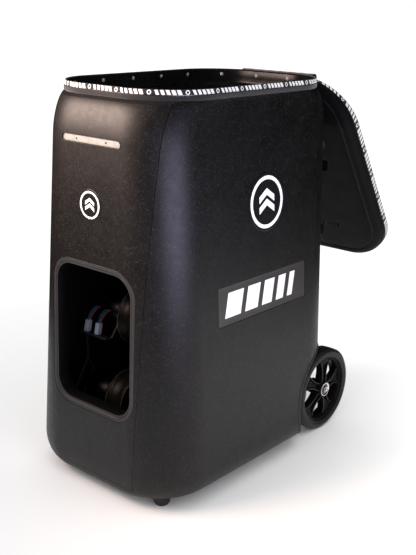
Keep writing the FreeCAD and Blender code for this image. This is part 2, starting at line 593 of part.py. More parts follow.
# ---------------------------------------------------------------- rear panel
panel_z_mid = (REAR_PANEL_Z0 + REAR_PANEL_Z1) / 2
rear_panel = box(-REAR_PANEL_HALF, REAR_PANEL_HALF, 207, REAR_PANEL_Y, REAR_PANEL_Z0, REAR_PANEL_Z1)
rear_panel = rear_panel.cut(box(-58, 58, 200, REAR_PANEL_Y - 4, REAR_PANEL_Z0 + 4, REAR_PANEL_Z1 - 4))
nodes["display_lens"] = box(-40, 40, REAR_PANEL_Y - 2.5, REAR_PANEL_Y - 0.4, 286, 312)
rear_panel = rear_panel.cut(box(-40.2, 40.2, REAR_PANEL_Y - 2.5, REAR_PANEL_Y + 1, 285.8, 312.2))
button_x = [-36, -12, 12, 36]
button_z = 272.0
for i, x in enumerate(button_x):
    rear_panel = rear_panel.cut(rod(7.3, (x, 200, button_z), (0, 1, 0), 40))
    button = rod(7, (x, REAR_PANEL_Y - 5, button_z), (0, 1, 0), 7)
    button = button.fuse(rod(9, (x, REAR_PANEL_Y - 8.5, button_z), (0, 1, 0), 4)).removeSplitter()
    nodes["button_%d" % (i + 1)] = button
rear_panel = rear_panel.cut(box(ROCKER_X - 10, ROCKER_X + 10, 200, 240, LOW_Z - 5, LOW_Z + 5))
rocker_frame = box(ROCKER_X - 13, ROCKER_X + 13, REAR_PANEL_Y, REAR_PANEL_Y + 1.2, LOW_Z - 8, LOW_Z + 8)
rocker_frame = rocker_frame.fuse(box(ROCKER_X - 11, ROCKER_X + 11, 208, REAR_PANEL_Y, LOW_Z - 6, LOW_Z + 6))
rocker_frame = rocker_frame.cut(box(ROCKER_X - 9.6, ROCKER_X + 9.6, 210, 230, LOW_Z - 4.9, LOW_Z + 4.9))
rocker_points = [(-9, -3), (-9, 3.2), (0, 1.6), (9, 3.2), (9, -3), (0, -5)]
rocker_corners = [V(ROCKER_X + x, REAR_PANEL_Y + y, LOW_Z - 4.5) for x, y in rocker_points]
rocker = Part.Face(Part.makePolygon(rocker_corners + rocker_corners[:1])).extrude(V(0, 0, 9))
rocker.rotate(V(ROCKER_X, REAR_PANEL_Y, LOW_Z), Z_AXIS, ROCKER_TILT)
nodes["power_rocker"] = rocker.cut(rod(0.95, (ROCKER_X, REAR_PANEL_Y, LOW_Z - 6), (0, 0, 1), 12))
rocker_pin = rod(0.9, (ROCKER_X, REAR_PANEL_Y, LOW_Z - 5.4), (0, 0, 1), 10.8)

rear_panel = rear_panel.cut(rod(9.2, (SOCKET_X, 200, LOW_Z), (0, 1, 0), 40))
socket = rod(9, (SOCKET_X, 206, LOW_Z), (0, 1, 0), REAR_PANEL_Y - 206)
socket = socket.fuse(rod(9.9, (SOCKET_X, REAR_PANEL_Y, LOW_Z), (0, 1, 0), 1.5)).removeSplitter()
socket = socket.cut(rod(5.5, (SOCKET_X, 210, LOW_Z), (0, 1, 0), 20))
nodes["charge_socket"] = socket.fuse(rod(1.2, (SOCKET_X, 209, LOW_Z), (0, 1, 0), 9)).removeSplitter()
flap_z = LOW_Z + 12
flap = rod(10.5, (SOCKET_X, REAR_PANEL_Y + 1.8, LOW_Z), (0, 1, 0), 1.8)
flap = flap.fuse(box(SOCKET_X - 4, SOCKET_X + 4, REAR_PANEL_Y + 1.8, REAR_PANEL_Y + 3.6, LOW_Z, flap_z))
flap = flap.fuse(rod(1.6, (SOCKET_X - 4, REAR_PANEL_Y + 2.4, flap_z), (1, 0, 0), 8)).removeSplitter()
nodes["socket_cap"] = flap.cut(rod(0.85, (SOCKET_X - 5, REAR_PANEL_Y + 2.4, flap_z), (1, 0, 0), 10))
pin = rod(0.8, (SOCKET_X - 6.5, REAR_PANEL_Y + 2.4, flap_z), (1, 0, 0), 13)
ears = [box(x, x + 2, REAR_PANEL_Y, REAR_PANEL_Y + 4, flap_z - 2, flap_z + 2)
        for x in (SOCKET_X - 7, SOCKET_X + 5)]
cap_hinge = union([pin] + ears)
rear_screws = [rod(3, (x, REAR_PANEL_Y, z), (0, 1, 0), 1.6) for x in (-55, 55)
               for z in (REAR_PANEL_Z0 + 7, REAR_PANEL_Z1 - 7)]
nodes["screws"] = Part.makeCompound(base_screws + rear_screws)
nodes["rear_panel"] = union([rear_panel, rocker_frame, rocker_pin, cap_hinge])

# ---------------------------------------------------------------- pull handle
tube_sets = []
handle = []
grip = rod(GRIP_R, (-TUBE_X - 8, TUBE_Y, GRIP_Z), (1, 0, 0), 2 * (TUBE_X + 8))
grip = grip.cut(box(-12.3, 12.3, TUBE_Y - 5.3, TUBE_Y + 5.3, GRIP_Z + 1, GRIP_Z + 20))
for x in (-TUBE_X, TUBE_X):
    tubes = [pipe(GRIP_R, 7.3, (x, TUBE_Y, 335), (0, 0, 1), 150), rod(GRIP_R, (x, TUBE_Y, 332), (0, 0, 1), 3)]
    for z in (348, 462):
        block = box(x - 13, x + 13, 200, TUBE_Y + 12, z, z + 16).cut(rod(GRIP_R, (x, TUBE_Y, z), (0, 0, 1), 16))
        tubes.append(block.cut(body_block(0, z - 5, z + 20)))
    tube_sets.append(union(tubes))
    handle.append(rod(7, (x, TUBE_Y, 345), (0, 0, 1), GRIP_Z - 345))
nodes["handle_tubes"] = Part.makeCompound(tube_sets)
nodes["handle"] = union([grip] + handle)
nodes["release_button"] = box(-12, 12, TUBE_Y - 5, TUBE_Y + 5, GRIP_Z + 4.5, GRIP_Z + 11.5)

# ---------------------------------------------------------------- rivets and zip
rivet_outline = rim_outline(BOWL_IN + BOWL_T)
rivet_count = 17
pitch = outline_length(rivet_outline) / rivet_count
first = -80 - (rivet_outline[2] + rivet_outline[4])
rivets = []
for i in range(rivet_count):
    spot, inward = walk_outline(rivet_outline, first + pitch * i)
    start = spot - inward * 0.2
    rivets.append(rod(2.2, (start.x, start.y, 616), (inward.x, inward.y, 0), 1.6))
    nodes["hopper_collar"] = nodes["hopper_collar"].cut(rivets[-1])
nodes["rim_rivets"] = Part.makeCompound(rivets)

slider_y = 60.0
slider_x = -RIM_HALF_WIDTH
slider = box(slider_x - 5, slider_x, slider_y - 6, slider_y + 6, 612, 622)
tab_pivot = (slider_x - 7.5, 614)
tab = box(tab_pivot[0] - 0.9, tab_pivot[0] + 0.9, slider_y - 4, slider_y + 4, 586, 615.5)
tab = tab.cut(box(tab_pivot[0] - 2, tab_pivot[0] + 2, slider_y - 2.2, slider_y + 2.2, 589, 605))
tab = tab.fuse(rod(1.8, (tab_pivot[0], slider_y - 4, tab_pivot[1]), (0, 1, 0), 8)).removeSplitter()
nodes["zip_pull_tab"] = tab.cut(rod(0.85, (tab_pivot[0], slider_y - 8, tab_pivot[1]), (0, 1, 0), 16))
tab_pin = rod(0.8, (tab_pivot[0], slider_y - 6, tab_pivot[1]), (0, 1, 0), 12)
tab_ears = [box(tab_pivot[0] - 1.5, slider_x - 5, y, y + 1.5, 612.5, 615.5)
            for y in (slider_y - 6, slider_y + 4.5)]
nodes["zip_slider"] = union([slider, tab_pin] + tab_ears)

# ---------------------------------------------------------------- lid, drawn closed and then swung open
def opened(shape):
    turned = shape.copy()
    turned.rotate(V(0, HINGE_Y, HINGE_Z), X_AXIS, -LID_OPEN_ANGLE)
    return turned


lid_z0 = RIM_TOP_Z + 0.5
lid_steps = [
    (lid_z0, 0.0), (LID_TOP_Z - 12, 0.0), (LID_TOP_Z - 7, 1.2), (LID_TOP_Z - 2.5, 5.0), (LID_TOP_Z, 12.0),
]
wedge_rise = (LID_TOP_Z - LID_HINGE_END_Z) / (RIM_REAR - LID_WEDGE_Y)
wedge_cut = prism_x([(LID_WEDGE_Y, LID_TOP_Z), (260, LID_TOP_Z - (260 - LID_WEDGE_Y) * wedge_rise),
                     (260, 700), (LID_WEDGE_Y, 700)], -200, 200)
lid_wall = Part.makeLoft([plan_wire(rim_outline(0), z) for z, _ in lid_steps[:2]], True, True)
lid_crown = Part.makeLoft([plan_wire(rim_outline(i), z) for z, i in lid_steps[1:]], True, False)
lid_outer = lid_wall.fuse(lid_crown).cut(wedge_cut)
lid_pocket = plan_prism(rim_outline(LID_T), lid_z0 - 1, LID_TOP_Z - 10)
lid_crown_pocket = Part.makeLoft([
    plan_wire(rim_outline(LID_T), LID_TOP_Z - 10), plan_wire(rim_outline(LID_T + 10), LID_TOP_Z - LID_T),
], True, True)
lowered_wedge = wedge_cut.copy()
lowered_wedge.translate(V(0, 0, -LID_T))
lid = lid_outer.cut(lid_pocket.fuse(lid_crown_pocket).cut(lowered_wedge))
raised_ring = pipe(48, 43, (0, 10, LID_TOP_Z - 0.5), (0, 0, 1), 1.3)
nodes["lid_panel"] = opened(lid.fuse(raised_ring).removeSplitter())
lid_tape = plan_ring(rim_outline, -0.8, 0, lid_z0, lid_z0 + 12).cut(wedge_cut)
nodes["lid_tape"] = opened(lid_tape)
leaf = box(-HINGE_HALF, HINGE_HALF, 190, HINGE_Y - 3.0, HINGE_Z + 0.6, HINGE_Z + 1.8)
nodes["lid_leaf"] = opened(leaf.cut(plan_prism(rim_outline(-0.8), 600, 680)))
strip = prism_x([(190, 613.5), (HINGE_Y - 1, HINGE_Z - 1.6), (HINGE_Y - 1, HINGE_Z - 0.2), (190, 614.9)],
                -HINGE_HALF, HINGE_HALF)
strip = strip.cut(plan_prism(rim_outline(0), 590, 640))
hinge_roll = rod(2.5, (-HINGE_HALF, HINGE_Y, HINGE_Z), (1, 0, 0), 2 * HINGE_HALF)
nodes["hinge_strip"] = strip.fuse(hinge_roll).removeSplitter()

# ---------------------------------------------------------------- write every piece
os.makedirs("parts", exist_ok=True)
for name, shape in nodes.items():
    moved = shape.copy()
    moved.translate(V(0, ORIGIN_SHIFT_Y, 0))
    moved.exportStep("parts/%s.step" % name)
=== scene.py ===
import json
import math

import bmesh
import bpy
from mathutils import Matrix, Vector


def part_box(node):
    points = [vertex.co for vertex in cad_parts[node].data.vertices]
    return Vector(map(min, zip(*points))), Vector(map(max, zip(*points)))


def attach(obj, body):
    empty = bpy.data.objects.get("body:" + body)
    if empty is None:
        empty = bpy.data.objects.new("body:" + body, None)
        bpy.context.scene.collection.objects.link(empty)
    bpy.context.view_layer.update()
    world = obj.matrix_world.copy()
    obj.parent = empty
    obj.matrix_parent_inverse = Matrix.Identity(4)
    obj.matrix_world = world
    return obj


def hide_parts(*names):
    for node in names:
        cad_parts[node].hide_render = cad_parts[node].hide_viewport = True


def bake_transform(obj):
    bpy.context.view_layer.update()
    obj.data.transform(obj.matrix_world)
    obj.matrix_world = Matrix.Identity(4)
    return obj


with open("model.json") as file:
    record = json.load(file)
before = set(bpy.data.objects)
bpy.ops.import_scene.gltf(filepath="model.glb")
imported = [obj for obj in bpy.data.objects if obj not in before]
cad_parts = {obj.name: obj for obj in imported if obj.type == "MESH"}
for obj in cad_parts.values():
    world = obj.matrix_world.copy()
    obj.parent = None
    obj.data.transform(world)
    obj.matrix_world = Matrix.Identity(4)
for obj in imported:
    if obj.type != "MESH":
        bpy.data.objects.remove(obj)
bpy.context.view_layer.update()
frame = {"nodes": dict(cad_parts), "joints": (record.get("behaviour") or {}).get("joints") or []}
nodes = frame["nodes"]

# ---------------------------------------------------------------- sizes, in mm, in the body's own frame
# X runs across the machine, Y to the rear with 0 at the middle of the body, Z up from the ground.
MM = 0.001
SHELL_BOTTOM_Z = 20.0
ROLL_TOP_Z = 58.0
SHOULDER_Z = 550.0
RIM_BASE_Z = 609.5
MID_Z = 312.5
HALF_WIDTH_MID = 146.7
FRONT_MID = 224.6
REAR_MID = 218.0
SIDE_SLOPE = 0.062
FRONT_SLOPE = 0.011
REAR_SLOPE = 0.034
CORNER_R = 84.0
ROLL_SIDE = 20.0
ROLL_FRONT = 5.0
ROLL_REAR = 12.0
WALL = 4.0
ROUND_SHARE = 0.98
RIM_HALF_WIDTH = 131.0
RIM_FRONT = 202.4
RIM_REAR = 205.2
RIM_R = 90.0
TAPE_Z = 617.5
MARK_PITCH = 53.0
TOOTH_PITCH = 2.4
PANEL_BOTTOM_Z = 30.0
PANEL_TOP_Z = 605.3
SEAM_AT_GROUND = 85.5
SEAM_SLOPE = 0.045
SEAM_GAP = 0.5
WINDOW_HALF = 75.0
WINDOW_Z0 = 147.0
WINDOW_Z1 = 357.5
WINDOW_R = 28.0
BEZEL_W = 13.0
BEZEL_DEPTH = 12.0
BEZEL_BACK_Y = -205.0
WINDOW = (WINDOW_HALF, WINDOW_Z0, WINDOW_Z1, WINDOW_R)
LIGHT_Z = 549.0
LIGHT_HALF_L = 60.0
LIGHT_H = 11.0
LIGHT_FACE_Y = -219.0
LIGHT_GAP = 1.2
LIGHT_BAR = (LIGHT_HALF_L, LIGHT_Z - LIGHT_H / 2, LIGHT_Z + LIGHT_H / 2, LIGHT_H / 2 - 0.01)
FRONT_BADGE_Z = 457.0
FRONT_BADGE_R = 23.0
SIDE_BADGE_Y = 13.0
SIDE_BADGE_Z = 448.0
SIDE_BADGE_R = 45.0
EMBLEM_LIFT = 0.66
PLATE_Y0 = -106.0
PLATE_Y1 = 116.0
PLATE_Z0 = 275.0
PLATE_Z1 = 337.0
WHEEL_R = 75.0
WHEEL_Y = 206.7
TYRE_X0 = 113.0
TYRE_X1 = 143.0
WELL_R = 85.0
WELL_X = 101.0
FLARE_X = 112.0
FLARE_RISE = 26.0
FLARE_LENGTH = 60.0
ARCH_LIP_R = 2.2
SPOKE_PHASE = 8.0
LAUNCH_ANGLE = 12.0
PIVOT_Y = -46.0
PIVOT_Z = 175.0
NIP_FORWARD = 77.0
WHEEL_OFFSET = 68.0
THROW_R = 48.0
THROW_HALF_W = 17.0
PLUG_FORWARD = 113.0
PLUG_UP = 34.0
BOWL_INSET = 8.7
BOWL_WALL = 2.2
RIVET_Z = 616.0
RIVET_COUNT = 17
FEED_Y = -30.0
FEED_FLOOR_Z = 396.0
FEED_R = 116.6
DROP_Y = 42.0
DROP_R = 37.0
REAR_PANEL_HALF = 62.0
REAR_PANEL_Z0 = 230.0
REAR_PANEL_Z1 = 320.0
REAR_PANEL_Y = 221.0
BUTTON_Z = 272.0
TUBE_X = 80.0
TUBE_Y = 235.0
GRIP_Z = 505.0
HINGE_Y = 218.0
HINGE_Z = 629.0
HINGE_HALF = 75.0
LID_Z0 = 625.5
LID_TOP_Z = 653.0
LID_WEDGE_Y = 128.0
LID_WEDGE_FALL = 18.0 / 77.2
LID_SEAM_INSET = 19.2
SHIFT_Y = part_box("rim_band")[0].y / MM + RIM_FRONT
LID_ANGLE = math.radians(next(j["range_deg"][1] for j in frame["joints"] if j["name"] == "lid_hinge"))


def at(x, y, z):
    """A place in the body's frame, in mm, as a point of the row frame, in metres."""
    return Vector((x, y + SHIFT_Y, z)) * MM


# ---------------------------------------------------------------- the outlines that the body follows
def quarter_round(t):
    return (1 - math.sqrt(1 - (ROUND_SHARE * t) ** 2)) / (1 - math.sqrt(1 - ROUND_SHARE ** 2))


def rounded_levels(z_start, z_end, steps):
    """Heights from a straight wall into its quarter round, evenly spaced round the bend."""
    bend = math.asin(ROUND_SHARE)
    return [z_start + (z_end - z_start) * math.sin(bend * k / steps) / ROUND_SHARE for k in range(steps + 1)]


def body_outline(z, inset=0.0):
    half = HALF_WIDTH_MID + SIDE_SLOPE * (MID_Z - z)
    front = FRONT_MID + FRONT_SLOPE * (MID_Z - z)
    rear = REAR_MID - REAR_SLOPE * (MID_Z - z)
    shoulder = quarter_round(min(1.0, max(0.0, (z - SHOULDER_Z) / (RIM_BASE_Z - SHOULDER_Z))))
    roll = quarter_round(min(1.0, max(0.0, (ROLL_TOP_Z - z) / (ROLL_TOP_Z - SHELL_BOTTOM_Z))))
    half += (RIM_HALF_WIDTH - half) * shoulder - ROLL_SIDE * roll
    front += (RIM_FRONT - front) * shoulder - ROLL_FRONT * roll
    rear += (RIM_REAR - rear) * shoulder - ROLL_REAR * roll
    radius = CORNER_R + (RIM_R - CORNER_R) * shoulder
    return (-half + inset, half - inset, -front + inset, rear - inset, radius - inset)


def rim_outline(inset=0.0):
    half = RIM_HALF_WIDTH - inset
    return (-half, half, -RIM_FRONT + inset, RIM_REAR - inset, RIM_R - inset)


def circle(steps):
    """The cosine and sine of evenly spaced angles once round."""
    return [(math.cos(2 * math.pi * k / steps), math.sin(2 * math.pi * k / steps)) for k in range(steps)]


def between(a, b, share):
    """The point that lies that share of the way from a to b."""
    return tuple(u + (v - u) * share for u, v in zip(a, b))


def ring_uv(outline, corner=12, straight=6):
    """Points once round a rounded rectangle, anticlockwise from the end of its low side."""
    u0, u1, v0, v1, radius = outline
    centres = ((u1 - radius, v0 + radius), (u1 - radius, v1 - radius),
               (u0 + radius, v1 - radius), (u0 + radius, v0 + radius))
    points = []
    for i, (u, v) in enumerate(centres):
        for k in range(corner + 1):
            angle = math.pi / 2 * (i - 1 + k / corner)
            points.append((u + radius * math.cos(angle), v + radius * math.sin(angle)))
        next_u, next_v = centres[(i + 1) % 4]
        goal = (next_u + radius * math.cos(math.pi / 2 * i), next_v + radius * math.sin(math.pi / 2 * i))
        start = points[-1]
        points += [between(start, goal, k / straight) for k in range(1, straight)]
    return points


def plan_ring(outline, z, corner=12, straight=6):
    return [(x, y, z) for x, y in ring_uv(outline, corner, straight)]


def front_ring(frame_size, grow, y_at, corner=10, straight=8):
    """The outline of an opening in the front, grown by that much. y_at gives the depth at each point."""
    half, z0, z1, radius = frame_size
    outline = (-half - grow, half + grow, z0 - grow, z1 + grow, radius + grow)
    return [(x, y_at(x, z), z) for x, z in ring_uv(outline, corner, straight)]


def seam_x(z):
    return SEAM_AT_GROUND + SEAM_SLOPE * z


def front_y(x, z, lift=0.0):
    """Where the body's front surface is at a given X and Z."""
    half, front, radius = (body_outline(z)[i] for i in (1, 2, 4))
    beyond = max(0.0, abs(x) - (half - radius))
    return front + radius - math.sqrt(radius ** 2 - beyond ** 2) - lift


def side_x(z, lift=0.0):
    return body_outline(z)[1] + lift


def outline_length(outline):
    x0, x1, y0, y1, radius = outline
    return 2 * (x1 - x0 + y1 - y0 - 4 * radius) + 2 * math.pi * radius


def outline_place(outline, distance):
    """A point and its outward direction, that far round, clockwise from the left wall's front end."""
    x0, x1, y0, y1, radius = outline
    legs = ((y1 - y0 - 2 * radius, x0, y0 + radius, 180), (x1 - x0 - 2 * radius, x0 + radius, y1, 90),
            (y1 - y0 - 2 * radius, x1, y1 - radius, 0), (x1 - x0 - 2 * radius, x1 - radius, y0, -90))
    bend = radius * math.pi / 2
    distance %= outline_length(outline)
    for length, x, y, heading in legs:
        if distance <= length + bend:
            break
        distance -= length + bend
    angle = math.radians(heading)
    out_x, out_y = math.cos(angle), math.sin(angle)
    if distance <= length:
        return (x + out_y * distance, y - out_x * distance), (out_x, out_y)
    centre_x = x + out_y * length - out_x * radius
    centre_y = y - out_x * length - out_y * radius
    angle -= (distance - length) / radius
    out_x, out_y = math.cos(angle), math.sin(angle)
    return (centre_x + radius * out_x, centre_y + radius * out_y), (out_x, out_y)


RIM_LENGTH = outline_length(rim_outline())


def rim_point(distance, inset, z):
    (x, y), (out_x, out_y) = outline_place(rim_outline(), distance)
    return (x - out_x * inset, y - out_y * inset, z)


# ---------------------------------------------------------------- making meshes
class Shape:
    """A mesh being made: points in the body's frame, in mm, and faces by index, each with a paint number."""

    def __init__(self):
        self.points = []
        self.faces = []
        self.paints = []

    def add(self, points, faces, paint=0):
        first = len(self.points)
        self.points.extend(points)
        self.faces.extend(tuple(first + i for i in face) for face in faces)
        self.paints.extend([paint] * len(faces))

    def loft(self, rings, closed=True, caps=False, ringed=False, paint=0):
        """Joins rings of equally many points. ringed joins the last ring to the first one."""
        count = len(rings[0])
        rows = len(rings)
        faces = []
        for i in range(rows if ringed else rows - 1):
            low, high = i * count, (i + 1) % rows * count
            for j in range(count if closed else count - 1):
                k = (j + 1) % count
                faces.append((low + j, low + k, high + k, high + j))
        if caps:
            faces.append(tuple(reversed(range(count))))
            faces.append(tuple((rows - 1) * count + j for j in range(count)))
        self.add([point for ring in rings for point in ring], faces, paint)

    def lathe(self, centre, axis, profile, steps=64, ringed=False, caps=False, paint=0):
        """Turns a profile of (distance along the axis, radius) about an axis through centre."""
        axis = Vector(axis).normalized()
        side = axis.orthogonal().normalized()
        other = axis.cross(side)
        rings = []
        for along, radius in profile:
            middle = Vector(centre) + axis * along
            rings.append([tuple(middle + (side * c + other * s) * radius) for c, s in circle(steps)])
        self.loft(rings, ringed=ringed, caps=caps, paint=paint)

    def tube(self, path, radius, sides=8, paint=0):
        path = [Vector(p) for p in path]
        normal = (path[1] - path[0]).orthogonal().normalized()
        rings = []
        for i, point in enumerate(path):
            tangent = (path[min(i + 1, len(path) - 1)] - path[max(i - 1, 0)]).normalized()
            normal = (normal - tangent * normal.dot(tangent)).normalized()
            other = tangent.cross(normal)
            rings.append([tuple(point + (normal * c + other * s) * radius) for c, s in circle(sides)])
        self.loft(rings, caps=True, paint=paint)

    def slab(self, lower, upper, paint=0):
        """A thin solid between two matching outlines."""
        self.loft([lower, upper], caps=True, paint=paint)

    def mirror(self):
        """Adds the same shape on the other side of the machine."""
        count = len(self.points)
        self.points += [(-x, y, z) for x, y, z in self.points]
        self.faces += [tuple(count + i for i in reversed(face)) for face in self.faces]
        self.paints += self.paints

    def piece(self, name, paints, slot, body="machine", replaces=(), sharp=38, recalc=True, where=None):
        """Makes the object, painted by a paint's name or several. where, if given, moves each point."""
        mesh = bpy.data.meshes.new(name)
        points = self.points if where is None else [where(p) for p in self.points]
        mesh.from_pydata([at(*p) for p in points], [], self.faces)
        for paint in paints.split():
            mesh.materials.append(PAINTS[paint])
        mesh.polygons.foreach_set("material_index", self.paints)
        obj = bpy.data.objects.new(name, mesh)
        bpy.context.scene.collection.objects.link(obj)
        if recalc:
            face_outward(mesh)
        smooth(mesh, sharp)
        if body:
            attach(obj, body)
        if replaces:
            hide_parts(*replaces)
        return obj


def face_outward(mesh, join=False):
    """Turns the faces outward. join first merges points that lie together."""
    work = bmesh.new()
    work.from_mesh(mesh)
    if join:
        bmesh.ops.remove_doubles(work, verts=work.verts, dist=0.00002)
    bmesh.ops.recalc_face_normals(work, faces=work.faces)
    work.to_mesh(mesh)
    work.free()


def smooth(mesh, sharp):
    mesh.shade_smooth()
    mesh.set_sharp_from_angle(angle=math.radians(sharp))


def settle(obj, sharp):
    """Applies the object's modifiers to its mesh."""
    bpy.context.view_layer.update()
    graph = bpy.context.evaluated_depsgraph_get()
    mesh = bpy.data.meshes.new_from_object(obj.evaluated_get(graph))
    obj.modifiers.clear()
    obj.data = mesh
    smooth(mesh, sharp)


def thicken(obj, thickness, offset=-1, even=False, sharp=38):
    """Gives a surface a wall: behind it for an offset of -1, half to each side for 0."""
    modifier = obj.modifiers.new("wall", "SOLIDIFY")
    modifier.thickness = thickness * MM
    modifier.offset = offset
    modifier.use_even_offset = even
    settle(obj, sharp)


def carve(obj, cutter_shapes):
    """Cuts closed shapes out of a piece."""
    cutters = []
    for shape in cutter_shapes:
        cutter = shape.piece("cutter", "", None, body=None)
        modifier = obj.modifiers.new("cut", "BOOLEAN")
        modifier.operation = "DIFFERENCE"
        modifier.solver = "EXACT"
        modifier.object = cutter
        cutters.append(cutter)
    settle(obj, 38)
    for cutter in cutters:
        bpy.data.objects.remove(cutter)


def soften(obj, width, segments=2, angle=38, weld=False):
    """Rounds the hard edges of a piece. On a CAD node it stays a modifier, so the node's own mesh is kept."""
    if weld:
        modifier = obj.modifiers.new("weld", "WELD")
        modifier.merge_threshold = 0.00001
    modifier = obj.modifiers.new("edges", "BEVEL")
    modifier.width = width * MM
    modifier.segments = segments
    modifier.limit_method = "ANGLE"
    modifier.angle_limit = math.radians(angle)
    modifier.use_clamp_overlap = True
    modifier.harden_normals = True
    modifier.miter_outer = "MITER_ARC"


# ---------------------------------------------------------------- making materials
class Paint:
    """A material being made: its Principled shader and the nodes that feed it. Sizes are in mm."""

    def __init__(self, **sockets):
        self.result = bpy.data.materials.new("paint")
        self.result.use_nodes = True
        self.tree = self.result.node_tree
        self.shader = self.tree.nodes["Principled BSDF"]
        self.object = self.tree.nodes.new("ShaderNodeTexCoord").outputs["Object"]
        for key, value in sockets.items():
            self.shader.inputs[key.replace("_", " ")].default_value = value

    def node(self, kind, inputs, **settings):
        made = self.tree.nodes.new("ShaderNode" + kind)
        for key, value in settings.items():
            setattr(made, key, value)
        for key, value in inputs.items():
            if isinstance(value, bpy.types.NodeSocket):
                self.tree.links.new(value, made.inputs[key])
            else:
                made.inputs[key].default_value = value
        return made

    def spot(self, stretch=(1, 1, 1), turn=(0, 0, 0)):
        """The place on the object, in mm, stretched or turned."""
        scale = [1000 / s for s in stretch]
        turned = self.node("Mapping", {"Vector": self.object, "Rotation": turn})
        return self.node("Mapping", {"Vector": turned.outputs[0], "Scale": scale}).outputs[0]

    def noise(self, size, detail=3.0, stretch=(1, 1, 1), rough=0.5):
        inputs = {"Vector": self.spot(stretch), "Scale": 1 / size, "Detail": detail, "Roughness": rough}
        return self.node("TexNoise", inputs).outputs["Fac"]

    def cells(self, size, output="Distance", feature="F1", stretch=(1, 1, 1)):
        inputs = {"Vector": self.spot(stretch), "Scale": 1 / size}
        return self.node("TexVoronoi", inputs, feature=feature).outputs[output]

    def stripes(self, pitch, direction, distortion=0.0):
        """Bands whose pitch runs along X, Y or Z."""
        inputs = {"Vector": self.spot(), "Scale": math.pi / 10 / pitch, "Distortion": distortion,
                  "Detail": 0.0}
        return self.node("TexWave", inputs, bands_direction=direction).outputs["Fac"]

    def math(self, operation, a, b):
        return self.node("Math", {0: a, 1: b}, operation=operation).outputs[0]

    def ranged(self, factor, low, high, start=0.0, end=1.0):
        inputs = {"Value": factor, "From Min": start, "From Max": end, "To Min": low, "To Max": high}
        return self.node("MapRange", inputs).outputs[0]

    def blend(self, factor, low, high, start=0.0, end=1.0):
        """A colour between two, each of them a colour or an output."""
        share = self.ranged(factor, 0.0, 1.0, start, end)
        made = self.node("Mix", {0: share}, data_type="RGBA")
        for index, value in ((6, low), (7, high)):
            if isinstance(value, bpy.types.NodeSocket):
                self.tree.links.new(value, made.inputs[index])
            else:
                made.inputs[index].default_value = (*value, 1)
        return made.outputs[2]

    def colour(self, output):
        self.tree.links.new(output, self.shader.inputs["Base Color"])

    def roughness(self, factor, low, high, start=0.25, end=0.75):
        self.tree.links.new(self.ranged(factor, low, high, start, end), self.shader.inputs["Roughness"])

    def bump(self, height, depth, strength=1.0):
        """Raises the surface by the height, which is 0 to 1, times the depth in mm."""
        previous = self.shader.inputs["Normal"].links
        inputs = {"Height": height, "Distance": depth * MM, "Strength": strength}
        if previous:
            inputs["Normal"] = previous[0].from_socket
        self.tree.links.new(self.node("Bump", inputs).outputs[0], self.shader.inputs["Normal"])


def moulded(colour, lighter, roughness, grain=0.9, depth=0.05, specular=0.35, painted_glint=0.0, **sockets):
    """Moulded plastic or rubber: a fine grain, soft mottling and faint handling marks, and, when asked,
    painted glints: the brightest grain cells painted lighter.
    """
    paint = Paint(Specular_IOR_Level=specular, **sockets)
    mottle = paint.noise(38.0, detail=5.0)
    shade = paint.blend(mottle, colour, lighter, 0.3, 0.75)
    speck = paint.cells(grain * 1.3, output="Color")
    speck = paint.node("SeparateColor", {"Color": speck}).outputs[0]
    # painted glints: the brightest grain cells get a lighter colour that stands in for glints of light
    if painted_glint:
        bright = tuple(min(1.0, c + painted_glint) for c in lighter)
        shade = paint.blend(speck, shade, bright, 0.9, 1.0)
    paint.colour(shade)
    handled = paint.noise(11.0, detail=6.0, rough=0.65)
    paint.roughness(handled, roughness - 0.05, roughness + 0.07)
    paint.bump(paint.noise(grain, detail=2.0), depth)
    paint.bump(speck, depth * 0.45)
    return paint.result


def metal(colour, darker, roughness, stretch=(1, 1, 1), grain=1.2, depth=0.01, **sockets):
    """Metal with a drawn or turned finish: streaks along the stretch, and faint stains."""
    paint = Paint(Metallic=1.0, **sockets)
    streaks = paint.noise(grain, detail=4.0, stretch=stretch)
    stains = paint.noise(17.0, detail=4.0)
    paint.colour(paint.blend(stains, darker, colour, 0.35, 0.6))
    paint.roughness(streaks, roughness * 0.75, roughness * 1.3)
    paint.bump(streaks, depth)
    return paint.result


def woven(colour, lighter, thread, across=("X", "Z"), sheen=0.35, roughness=0.8, depth=0.16):
    """Cloth or webbing: two sets of threads that cross, with uneven dye, a soft sheen, and painted shade
    where the threads dip.
    """
    paint = Paint(Sheen_Weight=sheen, Sheen_Roughness=0.45, Specular_IOR_Level=0.2)
    first = paint.stripes(thread, across[0], 0.4)
    second = paint.stripes(thread, across[1], 0.4)
    weave = paint.math("MAXIMUM", first, second)
    slub = paint.noise(thread * 3, detail=3.0)
    dye = paint.noise(30.0, detail=4.0)
    base = paint.blend(dye, colour, lighter, 0.3, 0.75)
    # painted shade: the colour darkens to 0.55 of the dye where the weave dips between the threads
    paint.colour(paint.blend(weave, tuple(c * 0.55 for c in colour), base, 0.1, 0.8))
    paint.roughness(slub, roughness - 0.08, roughness + 0.08)
    paint.bump(weave, depth)
    paint.bump(slub, depth * 0.5)
    return paint.result


def knitted(colour, lighter, loop=1.1, sheen=0.05):
    """Knitted or laminated cloth, the same whichever way it lies: small loops with painted shade in their
    dips, and soft creases that are lighter where the same noise raises them.
    """
    paint = Paint(Sheen_Weight=sheen, Sheen_Roughness=0.35, Specular_IOR_Level=0.15)
    paint.shader.inputs["Sheen Tint"].default_value = (0.75, 0.8, 1.0, 1)
    loops = paint.cells(loop)
    worn = paint.noise(24.0, detail=6.0, rough=0.6)
    # lighter where the crease noise raises the cloth and darker in its hollows
    base = paint.blend(worn, colour, lighter, 0.3, 0.75)
    # painted shade: the colour darkens to half where the loops dip
    paint.colour(paint.blend(loops, base, tuple(c * 0.5 for c in colour), 0.35, 0.8))
    paint.roughness(worn, 0.62, 0.78)
    paint.bump(loops, -0.12)
    paint.bump(worn, 0.35)
    return paint.result


